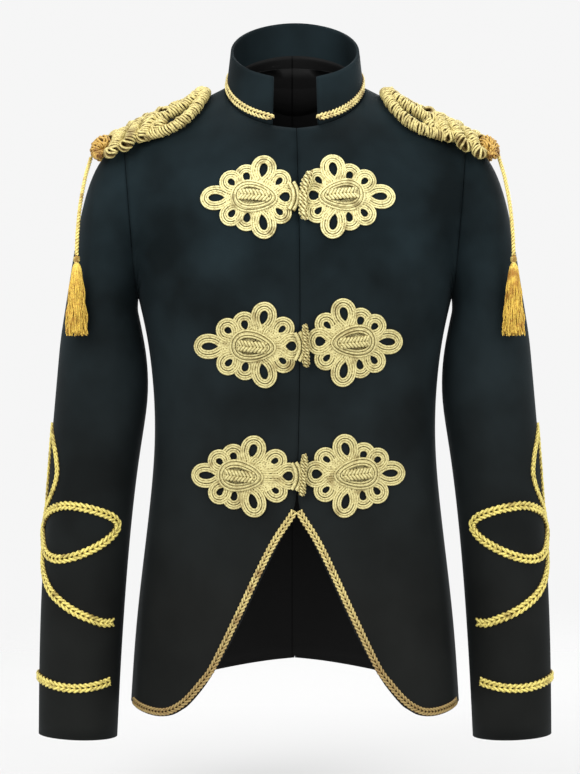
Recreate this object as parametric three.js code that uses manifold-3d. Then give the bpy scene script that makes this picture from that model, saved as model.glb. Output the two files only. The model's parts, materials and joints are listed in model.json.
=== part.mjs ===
// A hussar style stage jacket, filled out as it is worn, with no wearer inside.
// Millimetres, +Z up, the front faces -Y and +X is the viewer's right.
// The origin is on the wearer's mid-line, level with the side neck points.

import * as THREE from 'three';
import Module from 'manifold-3d';

const wasm = await Module();
wasm.setup();

const { Vector3, MathUtils } = THREE;
const rad = MathUtils.degToRad;
const lerp = MathUtils.lerp;

// Driving sizes
const CLOTH = 2.2;
const LINING = { thickness: 1, gap: 2.6, edgeGap: 0.8, short: 0.15, lines: 8 };
const COLLAR_CLOTH = 3.0;
const SEAM_PULL = 0.3;
const TRIM_LIFT = 0.8;
const FROG_LIFT = 1.3;
const BRAID = { width: 9.2, thickness: 2.4 };
const COLLAR_BRAID_WIDTH = 7.6;

const NECK = { halfWidth: 77, front: 74, back: 72, frontDrop: 53, backRise: 40 };
const COLLAR_TOP = { halfWidth: 72, front: 65, back: 68, level: 42, slope: 0.618, frontGap: 25 };
const SHOULDER_POINT = new Vector3(190, 0, -57);
const UNDERARM = new Vector3(172, 0, -232);
const APEX_Z = -459;
const SIDE_HEM_Z = -673.5;

// The body's half outline from the front, and its depths from the side
const BODY = [
  { z: -232, half: 172, front: 117, back: 112 },
  { z: -248, half: 167.8, front: 117, back: 110 },
  { z: -283, half: 160.6, front: 114, back: 104 },
  { z: -343, half: 154.6, front: 106, back: 92 },
  { z: -392, half: 154, front: 99, back: 87 },
  { z: -431, half: 156.8, front: 98, back: 89 },
  { z: -471, half: 161, front: 99, back: 95 },
  { z: -519, half: 166.7, front: 102, back: 104 },
  { z: -555, half: 171, front: 105, back: 111 },
  { z: -607, half: 176, front: 109, back: 119 },
  { z: -674, half: 180.4, front: 113, back: 123 },
];
const BODY_FULLNESS = 0.035;

// Angles of the lengthwise grid lines at chest level, from centre front to side and side to centre back
const FRONT_ANGLES = [0, 5.8, 11.8, 18, 24.3, 30.5, 37, 44.5, 53, 63, 75, 90];
const BACK_ANGLES = [180, 172, 164, 156, 148.5, 141.5, 134, 125.5, 116, 104, 90];
const SHOULDER_STEPS = 6;
const ARM_STEPS = 10;
const CHEST_STEPS = 6;
const SKIRT_STEPS = 6;

// How each grid line leaves the top seam and how it comes down to the chest
const FRONT_LINES = [
  { line: 0, outX: 0, outY: -60, outZ: -170, inX: 0, inY: -15, inZ: -190 },
  { line: 5, outX: 0, outY: -280, outZ: -110, inX: 0, inY: 0, inZ: -230 },
  { line: 8, outX: 0, outY: -270, outZ: -60, inX: 0, inY: 0, inZ: -200 },
  { line: 10, outX: -10, outY: -235, outZ: -40, inX: 0, inY: 90, inZ: -140 },
  { line: 11, outX: -25, outY: -200, outZ: -20, inX: -5, inY: 200, inZ: -20 },
];
const BACK_LINES = [
  { line: 0, outX: 0, outY: 110, outZ: -220, inX: 0, inY: -5, inZ: -260 },
  { line: 4, outX: 0, outY: 300, outZ: -90, inX: 0, inY: -44, inZ: -240 },
  { line: 7, outX: 0, outY: 300, outZ: -60, inX: 0, inY: -56, inZ: -200 },
  { line: 9, outX: -10, outY: 260, outZ: -40, inX: 0, inY: -110, inZ: -140 },
  { line: 10, outX: -25, outY: 208, outZ: -20, inX: -5, inY: -208, inZ: -20 },
];

// The cut-away edge below the closing, then the front hem out to the side seam
const CUTAWAY = [
  { x: 0, z: -459 },
  { x: 21, z: -499 },
  { x: 39.5, z: -537 },
  { x: 54.8, z: -570 },
  { x: 81.4, z: -625 },
  { x: 95.8, z: -645.5 },
  { x: 113.6, z: -665.6 },
];
const FRONT_HEM = [
  { x: 113.6, z: -665.6 },
  { x: 131, z: -677 },
  { x: 146.6, z: -680 },
  { x: 165, z: -678 },
  { x: 180.4, z: -673.5 },
];
const BACK_HEM = { centreZ: -642, power: 1.35 };
const CLOSING = { x: 1.5, sway: 3.5 };

// The sleeve from the side of the cap down: outer and inner outline, middle and half depth
const CAP = [
  { outX: 190, outZ: -57, inX: 172, inZ: -232, depth: 50, y: 0 },
  { outX: 204, outZ: -66, inX: 172.2, inZ: -235, depth: 54, y: 0 },
  { outX: 217, outZ: -81, inX: 172.4, inZ: -238, depth: 57, y: 0 },
  { outX: 230, outZ: -111, inX: 172.5, inZ: -240.5, depth: 59.5, y: 1 },
  { outX: 239.5, outZ: -155, inX: 172.5, inZ: -243, depth: 61, y: 2 },
  { outX: 247, outZ: -203, inX: 172.3, inZ: -246, depth: 61.5, y: 2 },
  { outX: 254, outZ: -249, inX: 171.5, inZ: -249, depth: 62, y: 3 },
];
const ARM = [
  { outX: 258.5, outZ: -275, inX: 166, inZ: -275, depth: 60, y: 3 },
  { outX: 261, outZ: -302, inX: 161.5, inZ: -302, depth: 59, y: 3 },
  { outX: 264.6, outZ: -343, inX: 160, inZ: -343, depth: 57, y: 2 },
  { outX: 269, outZ: -396, inX: 169.5, inZ: -396, depth: 54, y: 0 },
  { outX: 273, outZ: -460, inX: 177.3, inZ: -460, depth: 52, y: -4 },
  { outX: 276.9, outZ: -522, inX: 182.8, inZ: -522, depth: 50, y: -8 },
  { outX: 279.4, outZ: -582, inX: 187, inZ: -582, depth: 48, y: -11 },
  { outX: 280.3, outZ: -645, inX: 190.6, inZ: -645, depth: 45, y: -14 },
  { outX: 280.5, outZ: -706, inX: 193.5, inZ: -710, depth: 43, y: -16 },
];

// Each half frog: its knot's place on the front, and how far its loops reach from the knot
const FROGS = [
  { name: 'frog_1_loop', side: -1, x: -42.9, z: -129.8, out: 57, into: 46, up: 46, down: 45 },
  { name: 'frog_1_toggle', side: 1, x: 48.7, z: -128.2, out: 57, into: 43, up: 45, down: 47 },
  { name: 'frog_2_loop', side: -1, x: -43.7, z: -286, out: 63, into: 54, up: 48, down: 44 },
  { name: 'frog_2_toggle', side: 1, x: 60.4, z: -281, out: 53, into: 49, up: 46, down: 50 },
  { name: 'frog_3_loop', side: -1, x: -57.1, z: -422.6, out: 53, into: 64, up: 43, down: 44 },
  { name: 'frog_3_toggle', side: 1, x: 64, z: -420.5, out: 53, into: 56, up: 42, down: 48 },
];
// The cord loops of a half frog: eye centres as shares of the reach, eye half sizes in mm
const LOOPS = [
  { along: 1, across: 0, long: 8, wide: 4 },
  { along: 0.43, across: 0.34, long: 5, wide: 3.6 },
  { along: 0.14, across: 0.48, long: 5, wide: 3.6 },
  { along: -0.22, across: 0.65, long: 7, wide: 4.2 },
  { along: -0.57, across: 0.35, long: 5.5, wide: 3.8 },
  { along: -1, across: 0, long: 6.5, wide: 4 },
  { along: -0.57, across: -0.34, long: 5.5, wide: 3.8 },
  { along: -0.22, across: -0.64, long: 7, wide: 4.2 },
  { along: 0.13, across: -0.48, long: 5, wide: 3.6 },
  { along: 0.42, across: -0.36, long: 5, wide: 3.6 },
];
const FROG = {
  cord: 7.6, thickness: 3.4, knotLong: 15, knotWide: 10.5, knotHeight: 9, loopPoints: 4,
  shoulder: 0.72, shoulderHeight: 0.82, valley: 0.75, search: 24,
};
// The outline of a loop's eye, as shares of its half length and half width
const EYE = [[-1, 0], [-0.25, -0.72], [0.45, -1], [0.95, -0.45], [0.95, 0.45], [0.45, 1], [-0.25, 0.72]];
const TOGGLE = { sides: 10, noseRadius: 0.7, noseLength: 1, taper: 4, gap: 0.3 };
const TOGGLES = [
  { name: 'frog_1_bar', x: 12.5, z: -128, length: 46, radius: 5, lean: 3 },
  { name: 'frog_2_bar', x: 10.6, z: -285, length: 46, radius: 3.4, lean: -2 },
  { name: 'frog_3_bar', x: 8.2, z: -421, length: 46, radius: 3.4, lean: 4 },
];

// Half of the sleeve's looped braid, as degrees round from the outer line and height
const SLEEVE_KNOT = [
  { turn: 142, z: -583 },
  { turn: 126, z: -583 },
  { turn: 108, z: -578 },
  { turn: 88, z: -571 },
  { turn: 67, z: -561 },
  { turn: 45, z: -548 },
  { turn: 24, z: -529 },
  { turn: 8, z: -511 },
  { turn: -8, z: -503 },
  { turn: -30, z: -511 },
  { turn: -52, z: -514 },
  { turn: -75, z: -512 },
  { turn: -98, z: -505 },
  { turn: -120, z: -495 },
  { turn: -134, z: -485 },
  { turn: -137, z: -477 },
  { turn: -128, z: -470 },
  { turn: -108, z: -463 },
  { turn: -84, z: -458 },
  { turn: -58, z: -457 },
  { turn: -34, z: -463 },
  { turn: -14, z: -476 },
  { turn: 4, z: -480 },
  { turn: 20, z: -466 },
  { turn: 30, z: -446 },
  { turn: 33, z: -425 },
  { turn: 29, z: -403 },
  { turn: 18, z: -382 },
  { turn: 4, z: -371 },
  { turn: -4, z: -370 },
];
const KNOT = { steps: 46, perDegree: 0.85, over: 1.1 };
const CUFF_BAND = { z: -643, sag: 9, reach: 142, steps: 20 };

// The plaited shoulder boards
const BOARD = {
  inner: 99, outer: 224, halfWidth: 31, thickness: 9.5, along: 16, across: 6,
  plait: 2.6, lobes: 7, waist: 0.07, slope: 0.505, sag: 0.0085, lift: 1.1, rimShare: 0.45,
  endShare: 0.28, endGrowth: 9, eyeFrom: 2, eyeTo: 5,
};

// The hanging cords: the route on the viewer's right, mirrored for the left
const CORD = { diameter: 5, sides: 8, steps: 14 };
const CORD_ROUTE = [
  [222, -22, -78.2], [223.5, -26, -85], [225, -31, -92], [226.4, -36, -99], [227.6, -41, -107],
  [228.8, -46, -116], [229.9, -50.5, -125], [230.9, -55, -135], [231.7, -58.8, -145], [232.3, -61.8, -155],
  [232.8, -64, -164], [233.1, -65.5, -173], [233.3, -66.3, -181], [233.4, -66.5, -188.2],
];
const TASSEL = { x: 233.4, y: -66.5, topZ: -188.5, sides: 10 };
// The tassel's knot, neck and wound head, as radius and height under its top
const TASSEL_HEAD = [
  [0, -30], [6.8, -29], [7.9, -22], [7.5, -15], [3.4, -9],
  [3.4, -7.5], [4.4, -6], [4.4, -2], [2.6, -0.2], [0, 0],
];
const STRANDS = {
  outer: 14, inner: 6, size: 1.6, reach: 10.4, innerReach: 5.2, rootShare: 0.5, rootZ: -24, endZ: -76,
};

const velvet = { color: 0x1b2224, roughness: 0.85, metalness: 0 };
const blackLining = { color: 0x131314, roughness: 0.7, metalness: 0 };
const paleGold = { color: 0xc9b67c, roughness: 0.5, metalness: 0.25 };
const yellowGold = { color: 0xc3a43f, roughness: 0.55, metalness: 0.2 };

// A smooth value between the rows of a table, by the rows' key
function between(table, key, column, at) {
  const rows = table[0][key] <= table[table.length - 1][key] ? table : [...table].reverse();
  const last = rows.length - 1;
  const x = MathUtils.clamp(at, rows[0][key], rows[last][key]);
  let i = 0;
  while (i < last - 1 && rows[i + 1][key] < x) i += 1;
  const slope = (k) => {
    const a = rows[Math.max(k - 1, 0)];
    const b = rows[Math.min(k + 1, last)];
    return (b[column] - a[column]) / (b[key] - a[key]);
  };
  const step = rows[i + 1][key] - rows[i][key];
  const t = (x - rows[i][key]) / step;
  const [t2, t3] = [t * t, t * t * t];
  return (2 * t3 - 3 * t2 + 1) * rows[i][column] + (t3 - 2 * t2 + t) * step * slope(i)
    + (3 * t2 - 2 * t3) * rows[i + 1][column] + (t3 - t2) * step * slope(i + 1);
}

// A straight line between a table's rows
function straight(table, key, column, at) {
  let i = 0;
  while (i < table.length - 2 && table[i + 1][key] < at) i += 1;
  const t = (at - table[i][key]) / (table[i + 1][key] - table[i][key]);
  return lerp(table[i][column], table[i + 1][column], t);
}

// A smooth path through x and z rows, by its share from 0 to 1
function pathThrough(rows) {
  const curve = new THREE.CatmullRomCurve3(rows.map((r) => new Vector3(r.x, 0, r.z)), false, 'centripetal');
  return (share) => curve.getPointAt(share);
}

function hermite(a, b, leave, arrive, t) {
  const [t2, t3] = [t * t, t * t * t];
  return new Vector3()
    .addScaledVector(a, 2 * t3 - 3 * t2 + 1)
    .addScaledVector(leave, t3 - 2 * t2 + t)
    .addScaledVector(b, 3 * t2 - 2 * t3)
    .addScaledVector(arrive, t3 - t2);
}

// The body at a height, by degrees from centre front (0) over the side (90) to centre back (180)
function bodyPoint(z, degrees) {
  const angle = rad(degrees);
  const full = 1 + BODY_FULLNESS * Math.sin(2 * angle) ** 2;
  const depth = between(BODY, 'z', degrees < 90 ? 'front' : 'back', z);
  const half = between(BODY, 'z', 'half', z);
  return new Vector3(half * Math.sin(angle) * full, -depth * Math.cos(angle) * full, z);
}

// Degrees at which the front is x from the mid-line
function frontAngle(z, x) {
  let [a, b] = [-20, 90];
  for (let i = 0; i < 30; i += 1) {
    const mid = (a + b) / 2;
    if (bodyPoint(z, mid).x < x) a = mid;
    else b = mid;
  }
  return (a + b) / 2;
}

function neckline(degrees) {
  const c = Math.cos(rad(degrees));
  const depth = c > 0 ? NECK.front : NECK.back;
  const fall = c > 0 ? NECK.frontDrop : NECK.backRise;
  return new Vector3(NECK.halfWidth * Math.sin(rad(degrees)), -depth * c, -fall * c);
}

function shoulderPoint(share) {
  return new Vector3(NECK.halfWidth, 0, 0).lerp(SHOULDER_POINT, share);
}

function closingX(z) {
  const share = MathUtils.clamp((z + NECK.frontDrop) / (APEX_Z + NECK.frontDrop), 0, 1);
  return CLOSING.x + CLOSING.sway * Math.sin(Math.PI * share);
}

// The upper part of a panel, from its neck and shoulder seam down to the chest line
function upperRows(angles, lines, neckAngles) {
  const tops = [...neckAngles.map(neckline)];
  for (let k = 1; k <= SHOULDER_STEPS; k += 1) tops.push(shoulderPoint(k / SHOULDER_STEPS));
  const rows = [];
  for (let i = 0; i <= ARM_STEPS; i += 1) {
    rows.push(angles.map((degrees, j) => {
      const along = (column) => straight(lines, 'line', column, j);
      const leave = new Vector3(along('outX'), along('outY'), along('outZ'));
      const arrive = new Vector3(along('inX'), along('inY'), along('inZ'));
      return hermite(tops[j], bodyPoint(UNDERARM.z, degrees), leave, arrive, i / ARM_STEPS);
    }));
  }
  return rows;
}

// The front's grid for one side, +1 the viewer's right: the inner edge follows the closing and cut-away
function frontRows(side) {
  const neckAngles = [0, 18, 36, 54, 72, 90];
  const rows = upperRows(FRONT_ANGLES, FRONT_LINES, neckAngles);
  rows.forEach((row) => { row[0].x = side * closingX(row[0].z); });
  for (let k = 1; k <= CHEST_STEPS; k += 1) {
    const z = lerp(UNDERARM.z, APEX_Z, k / CHEST_STEPS);
    const row = FRONT_ANGLES.map((degrees) => bodyPoint(z, degrees));
    row[0] = bodyPoint(z, frontAngle(z, side * closingX(z)));
    rows.push(row);
  }
  const cutaway = pathThrough(CUTAWAY);
  const hem = pathThrough(FRONT_HEM);
  const last = FRONT_ANGLES.length - 1;
  const flat = (x, z) => ({ angle: frontAngle(z, x), z });
  const edge = (share) => {
    const p = cutaway(share);
    return flat(p.x + side * closingX(APEX_Z) * (1 - share) ** 2, p.z);
  };
  const bottom = (share) => {
    const p = hem(share);
    return share > 0.999 ? { angle: 90, z: SIDE_HEM_Z } : flat(p.x, p.z);
  };
  const [edge0, edge1] = [edge(0), edge(1)];
  for (let k = 1; k <= SKIRT_STEPS; k += 1) {
    const t = k / SKIRT_STEPS;
    rows.push(FRONT_ANGLES.map((degrees, j) => {
      const s = j / last;
      const [l, r] = [edge(t), { angle: 90, z: lerp(APEX_Z, SIDE_HEM_Z, t) }];
      const [u, d] = [{ angle: j === 0 ? edge0.angle : degrees, z: APEX_Z }, bottom(s)];
      const mix = (key) => (1 - s) * l[key] + s * r[key] + (1 - t) * u[key] + t * d[key]
        - ((1 - s) * (1 - t) * edge0[key] + s * (1 - t) * (key === 'z' ? APEX_Z : 90)
        + (1 - s) * t * edge1[key] + s * t * (key === 'z' ? SIDE_HEM_Z : 90));
      return bodyPoint(mix('z'), mix('angle'));
    }));
  }
  return mirrored(rows, side);
}

// The back's grid for one side: its hem rises to the centre back
function backRows(side) {
  const rows = upperRows(BACK_ANGLES, BACK_LINES, [180, 157.5, 135, 112.5, 90]);
  const steps = CHEST_STEPS + SKIRT_STEPS;
  for (let k = 1; k <= steps; k += 1) {
    const level = k <= CHEST_STEPS
      ? lerp(UNDERARM.z, APEX_Z, k / CHEST_STEPS)
      : lerp(APEX_Z, SIDE_HEM_Z, (k - CHEST_STEPS) / SKIRT_STEPS);
    const share = MathUtils.clamp((level - APEX_Z) / (SIDE_HEM_Z - APEX_Z), 0, 1);
    rows.push(BACK_ANGLES.map((degrees) => {
      const fall = Math.sin(rad(degrees)) ** BACK_HEM.power;
      const rise = (BACK_HEM.centreZ - SIDE_HEM_Z) * (1 - fall);
      return bodyPoint(level + rise * share ** 1.5, degrees);
    }));
  }
  return mirrored(rows, side);
}

function mirrored(rows, side) {
  return rows.map((row) => row.map((p) => new Vector3(p.x * side, p.y, p.z)));
}

// Triangles over a grid of rows, closed round or open
function gridTriangles(rowCount, columnCount, round) {
  const triangles = [];
  const across = round ? columnCount : columnCount - 1;
  for (let i = 0; i < rowCount - 1; i += 1) {
    for (let j = 0; j < across; j += 1) {
      const a = i * columnCount + j;
      const b = i * columnCount + ((j + 1) % columnCount);
      const c = a + columnCount;
      const d = b + columnCount;
      triangles.push([a, b, d], [a, d, c]);
    }
  }
  return triangles;
}

// A surface of points and triangles that face away from a point inside
function sheet(points, triangles, inside) {
  let out = 0;
  for (const [a, b, c] of triangles) {
    const n = triangleNormal(points[a], points[b], points[c]);
    out += n.dot(points[a].clone().sub(inside));
  }
  return { points, triangles: out < 0 ? triangles.map(([a, b, c]) => [a, c, b]) : triangles };
}

function triangleNormal(a, b, c) {
  return b.clone().sub(a).cross(c.clone().sub(a));
}

// One normal for each point, shared by all the sheets that meet there
function sharedNormals(sheets) {
  const key = (p) => `${Math.round(p.x * 20)} ${Math.round(p.y * 20)} ${Math.round(p.z * 20)}`;
  const sums = new Map();
  for (const { points, triangles } of sheets) {
    for (const corner of triangles) {
      const n = triangleNormal(...corner.map((k) => points[k]));
      for (const k of corner) {
        const id = key(points[k]);
        if (!sums.has(id)) sums.set(id, new Vector3());
        sums.get(id).add(n);
      }
    }
  }
  sums.forEach((n) => n.normalize());
  for (const s of sheets) s.normals = s.points.map((p) => sums.get(key(p)));
}

// A closed solid between two layers of points that share their triangles
function shell(top, bottom, triangles) {
  const count = top.length;
  const edges = new Map();
  for (const [a, b, c] of triangles) {
    for (const [p, q] of [[a, b], [b, c], [c, a]]) edges.set(`${p} ${q}`, [p, q]);
  }
  const all = [...triangles];
  for (const [a, b, c] of triangles) all.push([a + count, c + count, b + count]);
  for (const [p, q] of edges.values()) {
    if (edges.has(`${q} ${p}`)) continue;
    // The same diagonal on both sides of a seam, so that the two edges lie alike
    if (top[p].z > top[q].z) all.push([q, p, p + count], [q, p + count, q + count]);
    else all.push([q, p, q + count], [p, p + count, q + count]);
  }
  return solid([...top, ...bottom], all);
}

function solid(points, triangles) {
  let volume = 0;
  for (const [a, b, c] of triangles) volume += points[a].dot(points[b].clone().cross(points[c]));
  const faces = volume < 0 ? triangles.map(([a, b, c]) => [a, c, b]) : triangles;
  const geometry = new THREE.BufferGeometry();
  const flat = new Float32Array(points.flatMap((p) => [p.x, p.y, p.z]));
  geometry.setAttribute('position', new THREE.BufferAttribute(flat, 3));
  geometry.setIndex(faces.flat());
  return geometry;
}

// A cloth wall on a grid, pulled back a little from each open edge
function clothWall(grid, thickness) {
  const { rows, columns } = grid;
  const inner = grid.points.map((p, k) => p.clone().addScaledVector(grid.normals[k], -thickness));
  const outer = grid.points.map((p) => p.clone());
  const shift = outer.map(() => new Vector3());
  const pull = (k, towards) => {
    const way = grid.points[towards].clone().sub(grid.points[k]).normalize();
    shift[k].addScaledVector(way, SEAM_PULL);
  };
  for (let j = 0; j < columns; j += 1) {
    pull(j, j + columns);
    pull((rows - 1) * columns + j, (rows - 2) * columns + j);
  }
  if (!grid.round) {
    for (let i = 0; i < rows; i += 1) {
      pull(i * columns, i * columns + 1);
      pull(i * columns + columns - 1, i * columns + columns - 2);
    }
  }
  outer.forEach((p, k) => p.add(shift[k]));
  inner.forEach((p, k) => p.add(shift[k]));
  grid.outer = outer;
  return shell(outer, inner, grid.triangles);
}

function makeGrid(rows, inside, round = false) {
  const grid = sheet(rows.flat(), gridTriangles(rows.length, rows[0].length, round), inside);
  return { ...grid, rows: rows.length, columns: rows[0].length, round };
}

// The armhole, from the shoulder point to the underarm
function armhole(share, lines) {
  const row = lines[lines.length - 1];
  const leave = new Vector3(row.outX, row.outY, row.outZ);
  const arrive = new Vector3(row.inX, row.inY, row.inZ);
  return hermite(SHOULDER_POINT, UNDERARM, leave, arrive, share);
}

// The sleeve's rings: the armhole's own shape at the top changes to an oval down the cap
function ringPoint(ring, cos, sin) {
  const outer = new Vector3(ring.outX, ring.y, ring.outZ);
  const inner = new Vector3(ring.inX, ring.y, ring.inZ);
  const centre = outer.clone().add(inner).multiplyScalar(0.5);
  const half = outer.sub(inner).multiplyScalar(0.5);
  return centre.addScaledVector(half, cos).add(new Vector3(0, -sin * ring.depth, 0));
}

function armholeShape(k) {
  const back = k > ARM_STEPS;
  const share = back ? (2 * ARM_STEPS - k) / ARM_STEPS : k / ARM_STEPS;
  const p = armhole(share, back ? BACK_LINES : FRONT_LINES);
  const half = SHOULDER_POINT.clone().sub(UNDERARM).multiplyScalar(0.5);
  const centre = SHOULDER_POINT.clone().add(UNDERARM).multiplyScalar(0.5);
  const cos = p.clone().sub(centre).dot(half) / half.lengthSq();
  return { p, cos, sin: -p.y / CAP[0].depth, x: p.x - centre.x - half.x * cos };
}

function sleeveRows(side) {
  const around = 2 * ARM_STEPS;
  const rows = [];
  [...CAP, ...ARM].forEach((ring, i) => {
    const oval = Math.min(i / (CAP.length - 1), 1);
    const row = [];
    for (let k = 0; k < around; k += 1) {
      const from = armholeShape(k);
      const angle = (Math.PI * k) / ARM_STEPS;
      const p = ringPoint(ring, lerp(from.cos, Math.cos(angle), oval), lerp(from.sin, Math.sin(angle), oval));
      p.x += from.x * (1 - oval);
      row.push(p);
    }
    rows.push(row);
  });
  return mirrored(rows, side);
}

// A point on the sleeve below the cap, by degrees from its outer line, front positive
function onSleeve(side, turn, z, lift) {
  const at = (degrees, height) => {
    const ring = { outZ: height, inZ: height };
    for (const column of ['outX', 'inX', 'depth', 'y']) {
      ring[column] = between([CAP[CAP.length - 1], ...ARM], 'outZ', column, height);
    }
    const p = ringPoint(ring, Math.cos(rad(degrees)), Math.sin(rad(degrees)));
    return new Vector3(side * p.x, p.y, p.z);
  };
  const p = at(turn, z);
  const round = at(turn + 1, z).sub(at(turn - 1, z));
  const down = at(turn, z + 1).sub(at(turn, z - 1));
  const normal = round.cross(down).normalize();
  const axis = at(0, z).add(at(180, z)).multiplyScalar(0.5);
  if (normal.dot(p.clone().sub(axis)) < 0) normal.negate();
  return { point: p.addScaledVector(normal, lift), normal };
}

// The first point of the sheets on a line along one axis: 1 casts from the front, 2 from above
function cast(sheets, axis, u, v) {
  const [a1, a2] = axis === 1 ? ['x', 'z'] : ['x', 'y'];
  const deep = axis === 1 ? 'y' : 'z';
  let best = null;
  for (const s of sheets) {
    for (const corner of s.triangles) {
      const [a, b, c] = corner.map((k) => s.outer[k]);
      const area = (b[a1] - a[a1]) * (c[a2] - a[a2]) - (c[a1] - a[a1]) * (b[a2] - a[a2]);
      if (Math.abs(area) < 1e-9) continue;
      const wb = ((u - a[a1]) * (c[a2] - a[a2]) - (c[a1] - a[a1]) * (v - a[a2])) / area;
      const wc = ((b[a1] - a[a1]) * (v - a[a2]) - (u - a[a1]) * (b[a2] - a[a2])) / area;
      if (wb < -1e-6 || wc < -1e-6 || wb + wc > 1 + 1e-6) continue;
      const weights = [1 - wb - wc, wb, wc];
      const point = new Vector3();
      const normal = new Vector3();
      corner.forEach((k, i) => {
        point.addScaledVector(s.outer[k], weights[i]);
        normal.addScaledVector(s.normals[k], weights[i]);
      });
      const nearer = !best || (axis === 1 ? point[deep] < best.point[deep] : point[deep] > best.point[deep]);
      if (nearer) best = { point, normal: normal.normalize() };
    }
  }
  return best;
}

// A seat on the two fronts, also over the narrow gap between them
function onFronts(x, z) {
  const both = [fronts[-1], fronts[1]];
  return cast(both, 1, x, z) || cast(both, 1, x + 2 * SEAM_PULL, z) || cast(both, 1, x - 2 * SEAM_PULL, z);
}

// Flat braid along a line of seats, each a point on the cloth with its normal
function ribbon(seats, width, thickness, lift) {
  const top = [];
  const bottom = [];
  seats.forEach(({ point, normal }, i) => {
    const before = seats[Math.max(i - 1, 0)].point;
    const after = seats[Math.min(i + 1, seats.length - 1)].point;
    const across = after.clone().sub(before).cross(normal).normalize().multiplyScalar(width / 2);
    for (const way of [-1, 1]) {
      const seat = point.clone().addScaledVector(across, way).addScaledVector(normal, lift);
      bottom.push(seat);
      top.push(seat.clone().addScaledVector(normal, thickness));
    }
  });
  return shell(top, bottom, gridTriangles(seats.length, 2, false));
}

function toManifold(geometry) {
  const vertProperties = new Float32Array(geometry.getAttribute('position').array);
  const triVerts = new Uint32Array(geometry.getIndex().array);
  return new wasm.Manifold(new wasm.Mesh({ numProp: 3, vertProperties, triVerts }));
}

function joined(geometries) {
  const whole = geometries.map(toManifold).reduce((a, b) => a.add(b));
  const mesh = whole.getMesh();
  const points = [];
  for (let k = 0; k < mesh.vertProperties.length; k += mesh.numProp) {
    points.push(new Vector3(...mesh.vertProperties.slice(k, k + 3)));
  }
  const triangles = [];
  for (let k = 0; k < mesh.triVerts.length; k += 3) triangles.push([...mesh.triVerts.slice(k, k + 3)]);
  return solid(points, triangles);
}

// The front and back panels
const midBody = new Vector3(0, 0, -300);
const fronts = { '-1': makeGrid(frontRows(-1), midBody), 1: makeGrid(frontRows(1), midBody) };
const backs = { '-1': makeGrid(backRows(-1), midBody), 1: makeGrid(backRows(1), midBody) };
const sleeves = {
  '-1': makeGrid(sleeveRows(-1), new Vector3(-222, 0, -420), true),
  1: makeGrid(sleeveRows(1), new Vector3(222, 0, -420), true),
};
sharedNormals([fronts[-1], fronts[1], backs[-1], backs[1], sleeves[-1], sleeves[1]]);

const group = new THREE.Group();

function addPiece(name, geometry, finish) {
  const mesh = new THREE.Mesh(geometry, new THREE.MeshStandardMaterial(finish));
  mesh.name = name;
  group.add(mesh);
  return mesh;
}

const SIDES = [{ side: -1, name: 'left' }, { side: 1, name: 'right' }];

for (const { side, name } of SIDES) {
  addPiece(`front_${name}`, clothWall(fronts[side], CLOTH), velvet);
  addPiece(`back_${name}`, clothWall(backs[side], CLOTH), velvet);
}

// The lining of the back, as far as it shows through the neck and the cut-away: it follows every
// second grid line of the two backs, inside them, and stops short of the armholes
function backLining() {
  const { rows, columns } = backs[1];
  const widest = LINING.lines;
  const lines = [];
  for (let j = widest; j > 0; j -= 2) lines.push({ side: -1, j });
  for (let j = 0; j <= widest; j += 2) lines.push({ side: 1, j });
  const outer = [];
  const inner = [];
  let count = 0;
  for (let i = 0; i < rows; i += 2) {
    count += 1;
    lines.forEach(({ side, j }) => {
      const back = backs[side];
      const k = i * columns + j;
      const edge = i === 0 || i === rows - 1;
      const p = back.points[k].clone();
      if (i === rows - 1) p.lerp(back.points[k - columns], LINING.short);
      if (i === 0) p.lerp(back.points[k + columns], LINING.short);
      const depth = CLOTH + (edge ? LINING.edgeGap : LINING.gap);
      outer.push(p.clone().addScaledVector(back.normals[k], -depth));
      inner.push(p.clone().addScaledVector(back.normals[k], -depth - LINING.thickness));
    });
  }
  return shell(outer, inner, gridTriangles(count, lines.length, false));
}
addPiece('back_lining', backLining(), blackLining);

// The sleeves
for (const { side, name } of SIDES) addPiece(`sleeve_${name}`, clothWall(sleeves[side], CLOTH), velvet);

// The stand collar, open at the centre front
function collarPoint(degrees, share) {
  const turn = Math.abs(degrees);
  const base = neckline(turn);
  base.z += SEAM_PULL;
  const c = Math.cos(rad(turn));
  const y = -(c > 0 ? COLLAR_TOP.front : COLLAR_TOP.back) * c;
  const level = COLLAR_TOP.level + COLLAR_TOP.slope * y;
  const top = new Vector3(COLLAR_TOP.halfWidth * Math.sin(rad(turn)), y, level);
  const p = base.lerp(top, share);
  p.x *= Math.sign(degrees);
  return p;
}

function collarAngles(fine) {
  const open = MathUtils.radToDeg(Math.asin(COLLAR_TOP.frontGap / NECK.halfWidth));
  const half = fine ? [] : [open, 36, 54, 72, 90, 112.5, 135, 157.5];
  for (let k = 0; fine && k < fine; k += 1) half.push(lerp(open, 180, k / fine));
  return [...half.map((a) => -a), 180, ...[...half].reverse()];
}

function collar() {
  const rows = [0, 0.33, 0.67, 1].map((share) => collarAngles(0).map((a) => collarPoint(a, share)));
  const grid = makeGrid(rows, new Vector3(0, 0, 0));
  sharedNormals([grid]);
  return clothWall(grid, COLLAR_CLOTH);
}
addPiece('collar', collar(), velvet);

function collarBraid() {
  const seats = collarAngles(16).map((a) => {
    const p = collarPoint(a, 0.17);
    const round = collarPoint(a - 1, 0.17).sub(collarPoint(a === 180 ? -179 : a + 1, 0.17));
    const normal = round.cross(collarPoint(a, 0.25).sub(p)).normalize();
    if (normal.dot(new Vector3(p.x, p.y, 0)) < 0) normal.negate();
    return { point: p, normal };
  });
  return ribbon(seats, COLLAR_BRAID_WIDTH, BRAID.thickness, TRIM_LIFT);
}
addPiece('collar_braid', collarBraid(), paleGold);

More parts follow.
